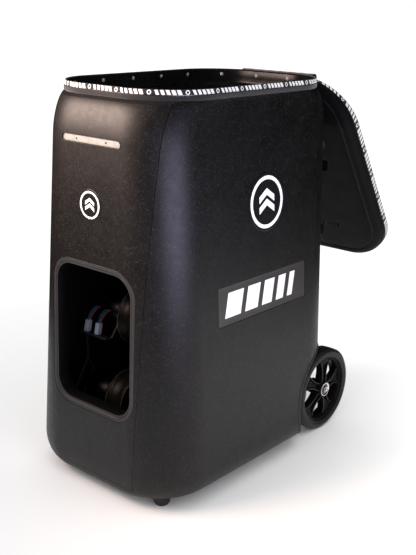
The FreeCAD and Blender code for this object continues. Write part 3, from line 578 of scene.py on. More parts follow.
def printed(colour, darker, roughness=0.38):
    """Ink or film: nearly even, with a fine tooth and a few worn spots."""
    paint = Paint(Specular_IOR_Level=0.4)
    wear = paint.noise(5.0, detail=6.0, rough=0.7)
    paint.colour(paint.blend(wear, darker, colour, 0.22, 0.42))
    paint.roughness(wear, roughness - 0.06, roughness + 0.1)
    paint.bump(paint.noise(0.8), 0.02)
    return paint.result


def circuit():
    """Green solder mask with copper tracks and tinned pads."""
    paint = Paint(Specular_IOR_Level=0.5)
    tracks = paint.cells(6.0, feature="DISTANCE_TO_EDGE")
    pads = paint.cells(3.2)
    mask = paint.blend(tracks, (0.03, 0.16, 0.05), (0.008, 0.05, 0.018), 0.03, 0.06)
    paint.colour(paint.blend(pads, (0.5, 0.5, 0.46), mask, 0.1, 0.13))
    paint.roughness(paint.noise(4.0), 0.3, 0.42)
    paint.bump(tracks, 0.05)
    return paint.result


def lens():
    """Frosted white plastic that scatters light, a little warm, with a fine prismatic rib."""
    paint = Paint(Specular_IOR_Level=0.5, Subsurface_Weight=0.35, Subsurface_Scale=0.004,
                  Emission_Strength=0.03)
    paint.shader.inputs["Subsurface Radius"].default_value = (1.0, 0.9, 0.75)
    paint.shader.inputs["Emission Color"].default_value = (1.0, 0.93, 0.82, 1)
    cloudy = paint.noise(9.0, detail=3.0)
    paint.colour(paint.blend(cloudy, (0.24, 0.232, 0.215), (0.3, 0.292, 0.272), 0.3, 0.7))
    paint.roughness(cloudy, 0.36, 0.5)
    paint.bump(paint.stripes(1.6, "X"), 0.06)
    return paint.result


def glass():
    """Dark tinted display window with faint smears."""
    paint = Paint(Coat_Weight=1.0, Coat_Roughness=0.04, Specular_IOR_Level=0.6)
    smear = paint.noise(14.0, detail=5.0, stretch=(3, 1, 1))
    paint.colour(paint.blend(smear, (0.004, 0.006, 0.008), (0.012, 0.016, 0.02), 0.3, 0.8))
    paint.roughness(smear, 0.05, 0.16)
    paint.bump(paint.noise(30.0), 0.02)
    return paint.result


def glowing(colour, strength):
    """A lit segment, brightest at its middle."""
    paint = Paint(Emission_Strength=strength, Roughness=0.5)
    dots = paint.cells(0.7)
    lit = paint.blend(dots, colour, tuple(c * 0.6 for c in colour), 0.2, 0.6)
    paint.colour(lit)
    paint.tree.links.new(lit, paint.shader.inputs["Emission Color"])
    paint.bump(dots, 0.02)
    return paint.result


def ground():
    """Matt white ground for the scene."""
    paint = Paint(Specular_IOR_Level=0.1)
    paint.colour(paint.blend(paint.noise(400.0), (0.86, 0.86, 0.86), (0.9, 0.9, 0.9)))
    paint.roughness(paint.noise(90.0), 0.8, 0.9)
    return paint.result


# colour, lighter colour, roughness, grain, depth, specular
PAINTS = {
    # the shell carries painted glints: its brightest grain cells are painted lighter
    "shell": moulded((0.0032, 0.0029, 0.003), (0.0058, 0.0052, 0.0053), 0.43, 0.9, 0.075, 0.32, painted_glint=0.02),
    "bezel": moulded((0.021, 0.02, 0.021), (0.028, 0.027, 0.028), 0.42, 0.6, 0.03),
    "dark": moulded((0.008, 0.008, 0.009), (0.015, 0.015, 0.016), 0.5, 1.4),
    # near-black paint for the window's inner jamb: painted shade
    "lip": moulded((0.0012, 0.0012, 0.0014), (0.002, 0.002, 0.0023), 0.6, 0.9, 0.03, 0.06),
    "bowl": moulded((0.003, 0.003, 0.0034), (0.005, 0.005, 0.0055), 0.27, 4.0, 0.03, 0.14,
                    Coat_Weight=0.04, Coat_Roughness=0.15),
    "rubber": moulded((0.012, 0.012, 0.012), (0.022, 0.021, 0.02), 0.72, 0.7, 0.08),
    "tyre": moulded((0.006, 0.006, 0.0065), (0.013, 0.0125, 0.012), 0.5, 0.8, 0.06, 0.4),
    "wheel_gloss": moulded((0.003, 0.003, 0.0035), (0.005, 0.005, 0.0055), 0.2, 3.0, 0.01, 0.06,
                           Coat_Weight=0.05, Coat_Roughness=0.08, IOR=1.3),
    # lighter paint for the spoke ridges: painted highlights
    "wheel_edge": moulded((0.03, 0.03, 0.032), (0.05, 0.05, 0.053), 0.25, 3.0, 0.01, 0.5),
    "throw": moulded((0.0016, 0.0013, 0.0011), (0.003, 0.0024, 0.0019), 0.36, 0.6, 0.08, 0.08),
    # lighter bronze for thin rings at the throw wheels' edges: painted highlights
    "throw_rim_highlight": moulded((0.035, 0.024, 0.017), (0.06, 0.042, 0.03), 0.3, 2.0, 0.01, 0.4),
    "button": moulded((0.02, 0.02, 0.022), (0.03, 0.03, 0.032), 0.6, 0.5),
    "red": moulded((0.42, 0.012, 0.008), (0.5, 0.02, 0.012), 0.32, 1.2, 0.02, 0.5),
    "plug": moulded((0.17, 0.19, 0.24), (0.23, 0.26, 0.32), 0.42, 1.0, 0.02, 0.3),
    "battery": moulded((0.012, 0.02, 0.035), (0.02, 0.03, 0.05), 0.38, 1.2, 0.05, 0.5),
    "rivet": moulded((0.2, 0.2, 0.205), (0.28, 0.28, 0.285), 0.25, 2.0, 0.01, 0.8),
    "bracket": moulded((0.009, 0.009, 0.011), (0.016, 0.016, 0.02), 0.34, 1.0, 0.03, 0.5),
    "red_wire": moulded((0.2, 0.012, 0.02), (0.25, 0.015, 0.025), 0.4, 1.0, 0.02),
    "blue_wire": moulded((0.012, 0.035, 0.17), (0.015, 0.04375, 0.2125), 0.4, 1.0, 0.02),
    "green_wire": moulded((0.012, 0.11, 0.05), (0.015, 0.1375, 0.0625), 0.4, 1.0, 0.02),
    "steel": metal((0.6, 0.6, 0.61), (0.42, 0.42, 0.43), 0.3, (8, 1, 1)),
    "chrome": metal((0.82, 0.82, 0.83), (0.7, 0.7, 0.72), 0.12, grain=6.0, depth=0.006),
    "motor": metal((0.03, 0.03, 0.033), (0.016, 0.016, 0.018), 0.42, (10, 1, 1)),
    "black_tube": metal((0.035, 0.035, 0.038), (0.02, 0.02, 0.022), 0.34, (1, 1, 12)),
    "warm_steel": metal((0.62, 0.55, 0.46), (0.35, 0.3, 0.25), 0.2, grain=2.0),
    # darker steel for the hub cap's dish: painted shade
    "dark_steel": metal((0.2, 0.18, 0.16), (0.09, 0.08, 0.07), 0.3, grain=2.0),
    "bronze": metal((0.42, 0.3, 0.16), (0.2, 0.14, 0.08), 0.35, (6, 1, 1)),
    "zip_metal": metal((0.3, 0.3, 0.31), (0.16, 0.16, 0.17), 0.3, grain=0.8),
    "band": woven((0.009, 0.009, 0.01), (0.016, 0.016, 0.018), 1.3, ("Z", "Y")),
    "tape": woven((0.01, 0.01, 0.011), (0.018, 0.018, 0.02), 0.9, ("Z", "X"), 0.2, 0.7),
    "mark": woven((0.62, 0.62, 0.62), (0.78, 0.78, 0.78), 0.7, ("Z", "X"), 0.1, 0.6, 0.05),
    "web": woven((0.014, 0.014, 0.015), (0.03, 0.03, 0.032), 1.6, ("X", "Y")),
    "thread": woven((0.03, 0.03, 0.033), (0.06, 0.06, 0.065), 0.5, ("X", "Y"), depth=0.05),
    "lid": knitted((0.0028, 0.003, 0.0036), (0.0052, 0.0054, 0.0064)),
    "lining": knitted((0.02, 0.02, 0.022), (0.032, 0.032, 0.035), loop=1.8, sheen=0.1),
    "white": printed((0.8, 0.8, 0.81), (0.64, 0.64, 0.65)),
    "film": printed((0.03, 0.027, 0.026), (0.022, 0.02, 0.02), roughness=0.34),
    "halo": printed((0.008, 0.0076, 0.008), (0.006, 0.006, 0.006), roughness=0.3),
    "board": circuit(),
    "lens": lens(),
    "glass": glass(),
    "lit": glowing((0.25, 0.9, 0.5), 0.6),
    "floor": ground(),
}
for key, material in PAINTS.items():
    material.name = key + "_paint"


# ---------------------------------------------------------------- shell, front panel and rim
def body_levels(z0, z1):
    levels = rounded_levels(ROLL_TOP_Z, SHELL_BOTTOM_Z, 10)[::-1]
    levels += [ROLL_TOP_Z + (SHOULDER_Z - ROLL_TOP_Z) * k / 8 for k in range(1, 8)]
    levels += rounded_levels(SHOULDER_Z, RIM_BASE_Z, 14)
    return [z0] + [z for z in levels if z0 + 0.3 < z < z1 - 0.3] + [z1]


def corner_arc(z, inset, gap, first, last, steps):
    """Points round the right front corner between two angles. None stands for the seam's own angle."""
    x1, y0, radius = (body_outline(z, inset)[i] for i in (1, 2, 4))
    centre_x = x1 - radius
    seam = math.asin((seam_x(z) + gap - centre_x) / radius)
    first = seam if first is None else first
    last = seam if last is None else last
    points = []
    for k in range(steps + 1):
        angle = first + (last - first) * k / steps
        points.append((centre_x + radius * math.sin(angle), y0 + radius - radius * math.cos(angle), z))
    return points


def mirrored_row(half_row):
    return half_row + [(-x, y, z) for x, y, z in reversed(half_row)]


def wrap_row(z):
    """The shell's level from the right seam, round the rear, to the left seam."""
    x1, y0, y1, radius = body_outline(z)[1:]
    row = corner_arc(z, 0, SEAM_GAP, None, math.pi / 2, 14)
    row += [(x1, y0 + radius + (y1 - y0 - 2 * radius) * k / 10, z) for k in range(1, 10)]
    for k in range(17):
        angle = math.pi / 2 * k / 16
        row.append((x1 - radius + radius * math.cos(angle), y1 - radius + radius * math.sin(angle), z))
    row.append(((x1 - radius) / 2, y1, z))
    return mirrored_row(row)


def front_row(z, gap):
    """The level's front, from the left seam to the right one."""
    x1, radius = (body_outline(z)[i] for i in (1, 4))
    row = corner_arc(z, 0, gap, None, 0.0, 8)
    row += [(x, row[-1][1], z) for x in ((x1 - radius) * 2 / 3, (x1 - radius) / 3)]
    return mirrored_row(row)[::-1]


def side_region(y0, y1, z0, z1, radius, lift):
    """A rounded rectangle on the right side's surface."""
    return [(side_x(z, lift), y, z) for y, z in ring_uv((y0, y1, z0, z1, radius), 6, 4)]


def box_shape(x0, x1, y0, y1, z0, z1):
    shape = Shape()
    shape.slab([(x0, y0, z0), (x1, y0, z0), (x1, y1, z0), (x0, y1, z0)],
               [(x0, y0, z1), (x1, y0, z1), (x1, y1, z1), (x0, y1, z1)])
    return shape


def shell_skin():
    shape = Shape()
    low = PANEL_BOTTOM_Z - SEAM_GAP
    high = PANEL_TOP_Z + SEAM_GAP / 2
    levels = body_levels(SHELL_BOTTOM_Z, low)[:-1] + body_levels(low, high) + [607.6, RIM_BASE_Z]
    rows = [wrap_row(z) + front_row(z, SEAM_GAP)[1:-1] for z in levels]
    wrap = len(wrap_row(low))
    count = len(rows[0])
    faces = []
    for i in range(len(rows) - 1):
        for j in range(count):
            in_front = j >= wrap - 1
            if in_front and low - 0.1 < levels[i] < high - 0.1:
                continue
            k = (j + 1) % count
            faces.append((i * count + j, i * count + k, (i + 1) * count + k, (i + 1) * count + j))
    faces.append(tuple(range(count)))
    shape.add([point for row in rows for point in row], faces)
    skin = shape.piece("shell_skin", "shell", "shell_plastic", replaces=["main_shell"])
    thicken(skin, WALL, even=True)
    wells = Shape()
    wells.lathe((0, WHEEL_Y, WHEEL_R), (1, 0, 0),
                [(WELL_X, WELL_R), (FLARE_X, WELL_R), (FLARE_X + FLARE_LENGTH, WELL_R + FLARE_RISE)],
                steps=96, caps=True)
    wells.mirror()
    recesses = Shape()
    recesses.slab(side_region(PLATE_Y0, PLATE_Y1, PLATE_Z0, PLATE_Z1, 2.5, -1.2),
                  side_region(PLATE_Y0, PLATE_Y1, PLATE_Z0, PLATE_Z1, 2.5, 6))
    recesses.mirror()
    beam = box_shape(-WELL_X - 0.3, WELL_X + 0.3, 189.7, 240, 59.7, 90.3)
    rear_hole = box_shape(-REAR_PANEL_HALF - 0.3, REAR_PANEL_HALF + 0.3, 190, 240,
                          REAR_PANEL_Z0 - 0.3, REAR_PANEL_Z1 + 0.3)
    carve(skin, [wells, recesses, beam, rear_hole])
    soften(skin, 0.8, angle=50)
    return skin


def front_skin():
    shape = Shape()
    shape.loft([front_row(z, 0) for z in body_levels(PANEL_BOTTOM_Z, PANEL_TOP_Z)], closed=False)
    skin = shape.piece("front_skin", "shell", "shell_plastic", replaces=["front_panel"])
    if skin.data.polygons[0].normal.y > 0:
        skin.data.flip_normals()
    thicken(skin, WALL, even=True)
    cutters = []
    for opening, grow, behind in ((WINDOW, BEZEL_W, -190), (LIGHT_BAR, LIGHT_GAP, -200)):
        cutter = Shape()
        cutter.slab(*(front_ring(opening, grow, lambda x, z, y=y: y) for y in (-260, behind)))
        cutters.append(cutter)
    carve(skin, cutters)
    soften(skin, 0.8, angle=50)
    return skin


def window_bezel():
    """The outlet's frame: a lip on the panel, a chamfer with a fine groove, and an inner lip painted near
    black, painted shade inside the opening.
    """
    shape = Shape()
    back = -FRONT_MID + BEZEL_DEPTH
    face = [(2.2, 0.02), (4.2, 0.07), (6.0, 0.11), (6.3, 0.19), (6.9, 0.19), (7.2, 0.14), (8.8, 0.17),
            (9.5, 0.2)]
    lip = [(9.7, 0.25), (10.2, 0.26), (10.6, 0.34), (11.4, 0.5), (12.3, 0.74), (12.9, 1.0), (13.0, 1.15)]

    def ring(inset, y_at):
        return front_ring(WINDOW, BEZEL_W - inset, y_at, corner=16, straight=10)

    def sunken(inset, share):
        return ring(inset, lambda x, z: front_y(x, z, -0.4) * (1 - share) + back * share)

    bead = [ring(inset, lambda x, z, lift=lift: front_y(x, z, lift - 0.4))
            for inset, lift in ((0.2, -7.0), (0.2, -0.7), (0.4, -0.25), (0.9, 0.0), (1.8, -0.15))]
    front = bead + [sunken(*row) for row in face]
    inside = [front[-1]] + [sunken(*row) for row in lip]
    inside += [ring(inset, lambda x, z: BEZEL_BACK_Y) for inset in (13.0, 11.0)]
    shape.loft(front)
    # the inner lip and the jamb behind it take the near-black lip paint, painted shade where the opening
    # falls dark
    shape.loft(inside + [front[0]], paint=1)
    return shape.piece("window_bezel", "bezel lip", "bezel_plastic", replaces=["outlet_bezel"], sharp=60)


def light_bar():
    """A frosted bar with rounded edges in a dark gasket, and the two pegs that show through it."""
    face = LIGHT_FACE_Y

    def bar_rings(levels):
        return [front_ring(LIGHT_BAR, -shrink, lambda x, z, y=face + y: y) for shrink, y in levels]

    shape = Shape()
    shape.loft(bar_rings(((0.0, 4), (0.0, 1.2), (0.25, 0.55), (0.7, 0.15), (1.4, 0), (3.0, -0.1))), caps=True)
    shape.piece("light_bar_frosted", "lens", "light_lens", replaces=["light_bar_lens"])
    gasket = Shape()
    gasket.loft(bar_rings(((-1.15, 3), (-1.15, -2.2), (-0.7, -2.6), (0.2, -2.2), (0.45, -0.3), (0.0, 3))),
                ringed=True)
    gasket.piece("light_bar_gasket", "rubber", "rubber")
    pegs = Shape()
    for x in (-LIGHT_HALF_L / 2, LIGHT_HALF_L / 2):
        pegs.lathe((x, face + 0.2, LIGHT_Z), (0, -1, 0), [(-0.5, 1.5), (0.45, 1.5), (0.6, 1.2), (0.62, 0.3)],
                   steps=20, caps=True)
    pegs.piece("light_bar_pegs", "dark", "inner_plastic")


def rim_sweep(shape, profile, stations=168, paint=0, closed=True):
    """Carries a profile of (inset, height) once round the rim."""
    pitch = RIM_LENGTH / stations
    rings = [[rim_point(pitch * k, inset, z) for inset, z in profile] for k in range(stations)]
    shape.loft(rings, closed=closed, ringed=True, paint=paint)


def tape_surface(distance, up):
    """A point on the tape that leans in over the band: up runs from 0 at its lower edge to 1."""
    return rim_point(distance, 0.1 + 1.5 * up ** 1.6, TAPE_Z + 0.3 + 7.0 * up)


def mark_row(shape, surface, pitch_wanted, height):
    """A plain repeating pattern along a tape: one ring and five slanted bars."""
    count = round(RIM_LENGTH / pitch_wanted)
    low, high = height
    middle = (low + high) / 2
    half = (high - low) / 2
    ring_radius = 3.3
    lean = 2.6
    for i in range(count):
        start = RIM_LENGTH / count * i
        shape.loft([[surface(start + ring_radius * scale * c, middle + half * scale * s) for c,
                     s in circle(14)]
                    for scale in (1.0, 0.55)])
        for bar in range(5):
            left = start + 7.4 + bar * 8.0
            wide = 5.8 - bar * 0.3
            shape.loft([[surface(left + shift, up), surface(left + shift + wide, up)]
                        for shift, up in ((0, low), (lean / 2, middle), (lean, high))], closed=False)


def rim_trim():
    """The rolled band round the rim, the tape above it with its pattern, and the zip coil between them."""
    band = Shape()
    rim_sweep(band, [(2.6, 609.7), (0.8, 609.6), (0.1, 610.4), (-0.35, 612.0), (-0.5, 613.6), (-0.35, 615.2),
                     (0.1, 616.6), (0.7, 617.2), (2.6, 617.2)])
    band.piece("rim_band_roll", "band", "band_fabric", replaces=["rim_band"], sharp=60)
    tape = Shape()
    edge = [(0.1 + 1.5 * (k / 6) ** 1.6, TAPE_Z + 0.3 + 7.0 * k / 6) for k in range(7)]
    rim_sweep(tape, [(2.6, TAPE_Z - 0.2), (0.5, TAPE_Z - 0.1)] + edge + [(2.0, 625.2), (2.6, 625.0)])
    tape.piece("rim_tape", "tape", "tape_fabric", sharp=60)
    marks = Shape()

    def lifted(distance, up):
        x, y, z = tape_surface(distance, up)
        out_x, out_y = outline_place(rim_outline(), distance)[1]
        return (x + out_x * 0.12, y + out_y * 0.12, z + 0.03)

    mark_row(marks, lifted, MARK_PITCH, height=(0.03, 0.95))
    thicken(marks.piece("rim_tape_marks", "mark", "badge_print", recalc=False), 0.1, offset=0, sharp=60)
    teeth = Shape()
    count = int(RIM_LENGTH / TOOTH_PITCH)
    corners = ((0, 0.9), (1.5, 0.9), (1.5, -0.25), (0, -0.25))
    for i in range(count):
        start = RIM_LENGTH / count * i
        levels = (TAPE_Z - 0.75, TAPE_Z + 0.05) if i % 2 else (TAPE_Z - 0.15, TAPE_Z + 0.65)
        teeth.slab(*([rim_point(start + along, inset, z) for along, inset in corners] for z in levels))
    teeth.piece("rim_zip_coil", "zip_metal", "zip_metal")
    neck = Shape()
    rim_sweep(neck, [(3.0, 606.0), (3.0, 621.0), (6.0, 621.0), (6.0, 606.0)], stations=96)
    neck.piece("rim_neck", "dark", "inner_plastic")


# ---------------------------------------------------------------- badges and plates
def ring_strip(centre_u, centre_v, outer, inner, place, steps=72):
    """A flat ring with a thin edge, drawn on a surface by place(u, v, lift)."""
    rings = []
    for radius, lift in ((outer, 0.0), (outer, 0.16), (inner, 0.16), (inner, 0.0)):
        rings.append([place(centre_u + radius * c, centre_v + radius * s, lift) for c, s in circle(steps)])
    return rings


def polygon_film(shape, corners, place, paint=0, thickness=0.16):
    shape.slab([place(u, v, 0.0) for u, v in corners], [place(u, v, thickness) for u, v in corners], paint)


def emblem(shape, centre_u, centre_v, radius, place, paint=1):
    """A neutral sign: a ring round two upright chevrons."""
    shape.loft(ring_strip(centre_u, centre_v, radius, radius * 0.86, place), ringed=True, paint=paint)
    for base, reach in ((-0.42, 0.50), (-0.02, 0.50)):
        half = radius * 0.46
        low = centre_v + radius * base
        thick = radius * 0.25
        for side in (-1, 1):
            corners = [(centre_u + side * half, low), (centre_u + side * half, low + thick),
                       (centre_u, low + thick + radius * (reach - 0.2)),
                       (centre_u, low + radius * (reach - 0.2))]
            polygon_film(shape, corners, place, paint)


def disc_film(shape, centre_u, centre_v, radius, place, steps=72):
    """A thin domed sticker: its skirt, then rings in to the middle."""
    rings = []
    for share, lift in ((1.0, 0.0), (1.0, 0.45), (0.985, 0.6), (0.95, 0.66), (0.6, 0.68), (0.3, 0.68),
                        (0.02, 0.68)):
        reach = radius * share
        rings.append([place(centre_u + reach * c, centre_v + reach * s, lift) for c, s in circle(steps)])
    shape.loft(rings, caps=True)


def badges():
    def on_front(u, v, lift):
        return (u, front_y(u, v, lift), v)

    def on_side(u, v, lift):
        return (side_x(v, lift), u, v)

    front = Shape()
    disc_film(front, 0, FRONT_BADGE_Z, FRONT_BADGE_R, on_front)
    emblem(front, 0, FRONT_BADGE_Z, FRONT_BADGE_R * 0.88,
           lambda u, v, lift: on_front(u, v, lift + EMBLEM_LIFT))
    front.piece("front_badge_disc", "halo white", "badge_print", replaces=["badges"])
    side = Shape()
    disc_film(side, SIDE_BADGE_Y, SIDE_BADGE_Z, SIDE_BADGE_R, on_side)
    emblem(side, SIDE_BADGE_Y, SIDE_BADGE_Z, SIDE_BADGE_R * 0.9,
           lambda u, v, lift: on_side(u, v, lift + EMBLEM_LIFT))
    side.mirror()
    side.piece("side_badge_discs", "halo white", "badge_print")

    plate = Shape()
    edge = 0.6
    rings = []
    for inset, lift in ((0, -1.15), (0, -0.7), (0.35, -0.32), (0.9, -0.25), (1.4, -0.3), (8, -0.3),
                        (20, -0.3)):
        region = (PLATE_Y0 + edge + inset, PLATE_Y1 - edge - inset, PLATE_Z0 + edge + inset,
                  PLATE_Z1 - edge - inset, max(0.4, 2.2 - inset * 0.2))
        rings.append([(side_x(z, lift), y, z) for y, z in ring_uv(region, 6, 10)])
    plate.loft(rings, caps=True)
    left = PLATE_Y0 + 15.0
    bar_z0 = PLATE_Z0 + 12.0
    bar_z1 = PLATE_Z1 - 12.0
    lean = 9.0
    for width in (37.0, 31.0, 25.0, 19.0, 13.0):
        corners = [(left, bar_z0), (left + width, bar_z0), (left + width + lean, bar_z1),
                   (left + lean, bar_z1)]
        polygon_film(plate, corners, lambda u, v, lift: on_side(u, v, lift - 0.3), 1)
        left += width + 11.0
    plate.mirror()
    plate.piece("side_plate_films", "film white", "plate_film", replaces=["side_plates"])


# ---------------------------------------------------------------- hopper
def bowl_outline(z, inset=0.0):
    """The funnel's section, smooth through its mouth, its middle and its round floor."""
    sections = (
        (597.0, (119.0, 190.0, 193.0, 80.0)),
        (500.0, (119.0, 178.0, 158.0, 96.0)),
        (FEED_FLOOR_Z, (119.0, 149.0, 89.0, 118.0)),
    )
    (z_a, a), (z_b, b), (z_c, c) = sections
    values = []
    for va, vb, vc in zip(a, b, c):
        la = (z - z_b) * (z - z_c) / ((z_a - z_b) * (z_a - z_c))
        lb = (z - z_a) * (z - z_c) / ((z_b - z_a) * (z_b - z_c))
        lc = (z - z_a) * (z - z_b) / ((z_c - z_a) * (z_c - z_b))
        values.append(va * la + vb * lb + vc * lc)
    half, front, rear, radius = values
    radius = min(radius, half - 0.5, (front + rear) / 2 - 0.5)
    return (-half + inset, half - inset, -front + inset, rear - inset, radius - inset)


def bowl_skin():
    """The liner: its lip, the upright wall, the ledge, the rounded mouth and the funnel to the feed floor."""
    shape = Shape()
    inner = BOWL_INSET
    steps = [(2.9, 621.6), (2.9, 623.3), (3.4, 623.8), (inner - 1.0, 623.9), (inner - 0.3, 623.5),
             (inner, 622.6), (inner, 612), (inner + 0.1, 604.5), (inner + 0.6, 602.0), (inner + 1.9, 600.6),
             (inner + 3.6, 600.2)]
    rings = [plan_ring(rim_outline(inset), z, 18, 8) for inset, z in steps]
    mouth = bowl_outline(597.0)
    curl = [(-3.0, 600.2), (-1.2, 600.0), (0.4, 599.4), (1.6, 598.3), (2.2, 596.6), (2.4, 594.0)]
    rings += [plan_ring(tuple(v + d for v, d in zip(mouth, (inset, -inset, inset, -inset, -inset))), z, 18, 8)
              for inset, z in curl]
    rings += [plan_ring(bowl_outline(z, 2.4), z, 18, 8) for z in range(585, 395, -10)]
    rings.append(plan_ring(bowl_outline(FEED_FLOOR_Z + 3, 2.6), FEED_FLOOR_Z + 3, 18, 8))
    rings.append(plan_ring(bowl_outline(FEED_FLOOR_Z, 4.5), FEED_FLOOR_Z, 18, 8))
    shape.loft(rings)
    liner = shape.piece("bowl_skin", "bowl", "hopper_plastic", replaces=["hopper_bowl", "hopper_collar"],
                        sharp=50, recalc=False)
    thicken(liner, BOWL_WALL, sharp=50)
    floor = Shape()
    floor.lathe((0, FEED_Y, FEED_FLOOR_Z), (0, 0, 1),
                [(0, 6.5), (0, 40), (0, 80), (0, FEED_R), (-3, FEED_R), (-3, 6.5)], ringed=True)
    plate = floor.piece("feed_floor", "bowl", "hopper_plastic", replaces=["hopper_floor"])
    drop = Shape()
    drop.lathe((0, DROP_Y, 380), (0, 0, 1), [(0, DROP_R), (40, DROP_R)], caps=True)
    carve(plate, [drop])


def rivet_domes():
    """Bright domed rivets round the hopper's wall, each on a thin washer."""
    shape = Shape()
    outline = rim_outline(BOWL_INSET)
    profile = [(-0.2, 3.1), (0.25, 3.1), (0.4, 2.9), (0.45, 2.5), (0.9, 2.25), (1.35, 1.6), (1.6, 0.8),
               (1.66, 0.1)]
    for i in range(RIVET_COUNT):
        distance = -80 - (outline[2] + outline[4]) + outline_length(outline) / RIVET_COUNT * i
        (x, y), (out_x, out_y) = outline_place(outline, distance)
        shape.lathe((x, y, RIVET_Z), (-out_x, -out_y, 0), profile, steps=20, caps=True)
    shape.piece("rivet_domes", "rivet", "steel", replaces=["rim_rivets"], sharp=60)


# ---------------------------------------------------------------- wheels and feet
def spoke_rings(angle, middle):
    """A broad spoke's sections from the hub to the rim: a sunken web between two raised ridges."""
    rings = []
    steps = 16
    for k in range(steps + 1):
        t = k / steps
        radius = 11.5 + 42.5 * t
        wide = 8.2 - 1.6 * math.sin(math.pi * min(1.0, t * 1.15)) + 9.5 * t ** 3.2
        ridge = 1.9 - 0.5 * t
        face = middle + 10.6 - 4.6 * t
        back = middle - 4.0 - 1.5 * t
        sink = 4.2 * math.sin(math.pi * min(1.0, 0.12 + t)) ** 0.6
        section = ((-wide, back), (-wide, face - 2.6), (-wide + 0.5, face - 0.5), (-wide + ridge * 0.7, face),
                   (-wide + ridge * 1.5, face - 0.5), (-wide + ridge * 2.1, face - sink),
                   (0.0, face - sink - 0.4))
        section += tuple((-a, b) for a, b in section[-2::-1])
        bend = 0.02 * math.sin(math.pi * t)
        ring = []
        for across, x in section:
            turn = angle + bend
            ring.append((x, WHEEL_Y + radius * math.sin(turn) + across * math.cos(turn),
                         WHEEL_R + radius * math.cos(turn) - across * math.sin(turn)))
        rings.append(ring)
    return rings


def arch_lips():
    """The rolled edge of the shell round each wheel arch, where the arch's cone meets the body's surface. It
    takes the lighter bezel paint, a painted highlight along the edge.
    """
    path = []
    steps = 60
    for k in range(steps + 1):
        angle = math.radians(208 - 150 * k / steps)
        reach = WELL_R + FLARE_RISE
        for _ in range(20):
            y = WHEEL_Y + reach * math.cos(angle)
            z = WHEEL_R + reach * math.sin(angle)
            x1, y1, radius = (body_outline(z)[i] for i in (1, 3, 4))
            beyond = max(0.0, y - (y1 - radius))
            x = x1 - radius + math.sqrt(max(0.0, radius ** 2 - beyond ** 2))
            reach = WELL_R + FLARE_RISE * max(0.0, x - FLARE_X) / FLARE_LENGTH
        if x < FLARE_X + 2:
            break
        path.append((x - 0.9, y, z))
    shape = Shape()
    shape.tube(path, ARCH_LIP_R, 12)
    shape.mirror()
    # the lighter bezel paint on this shell edge is a painted highlight
    shape.piece("arch_lips", "bezel", "shell_plastic")


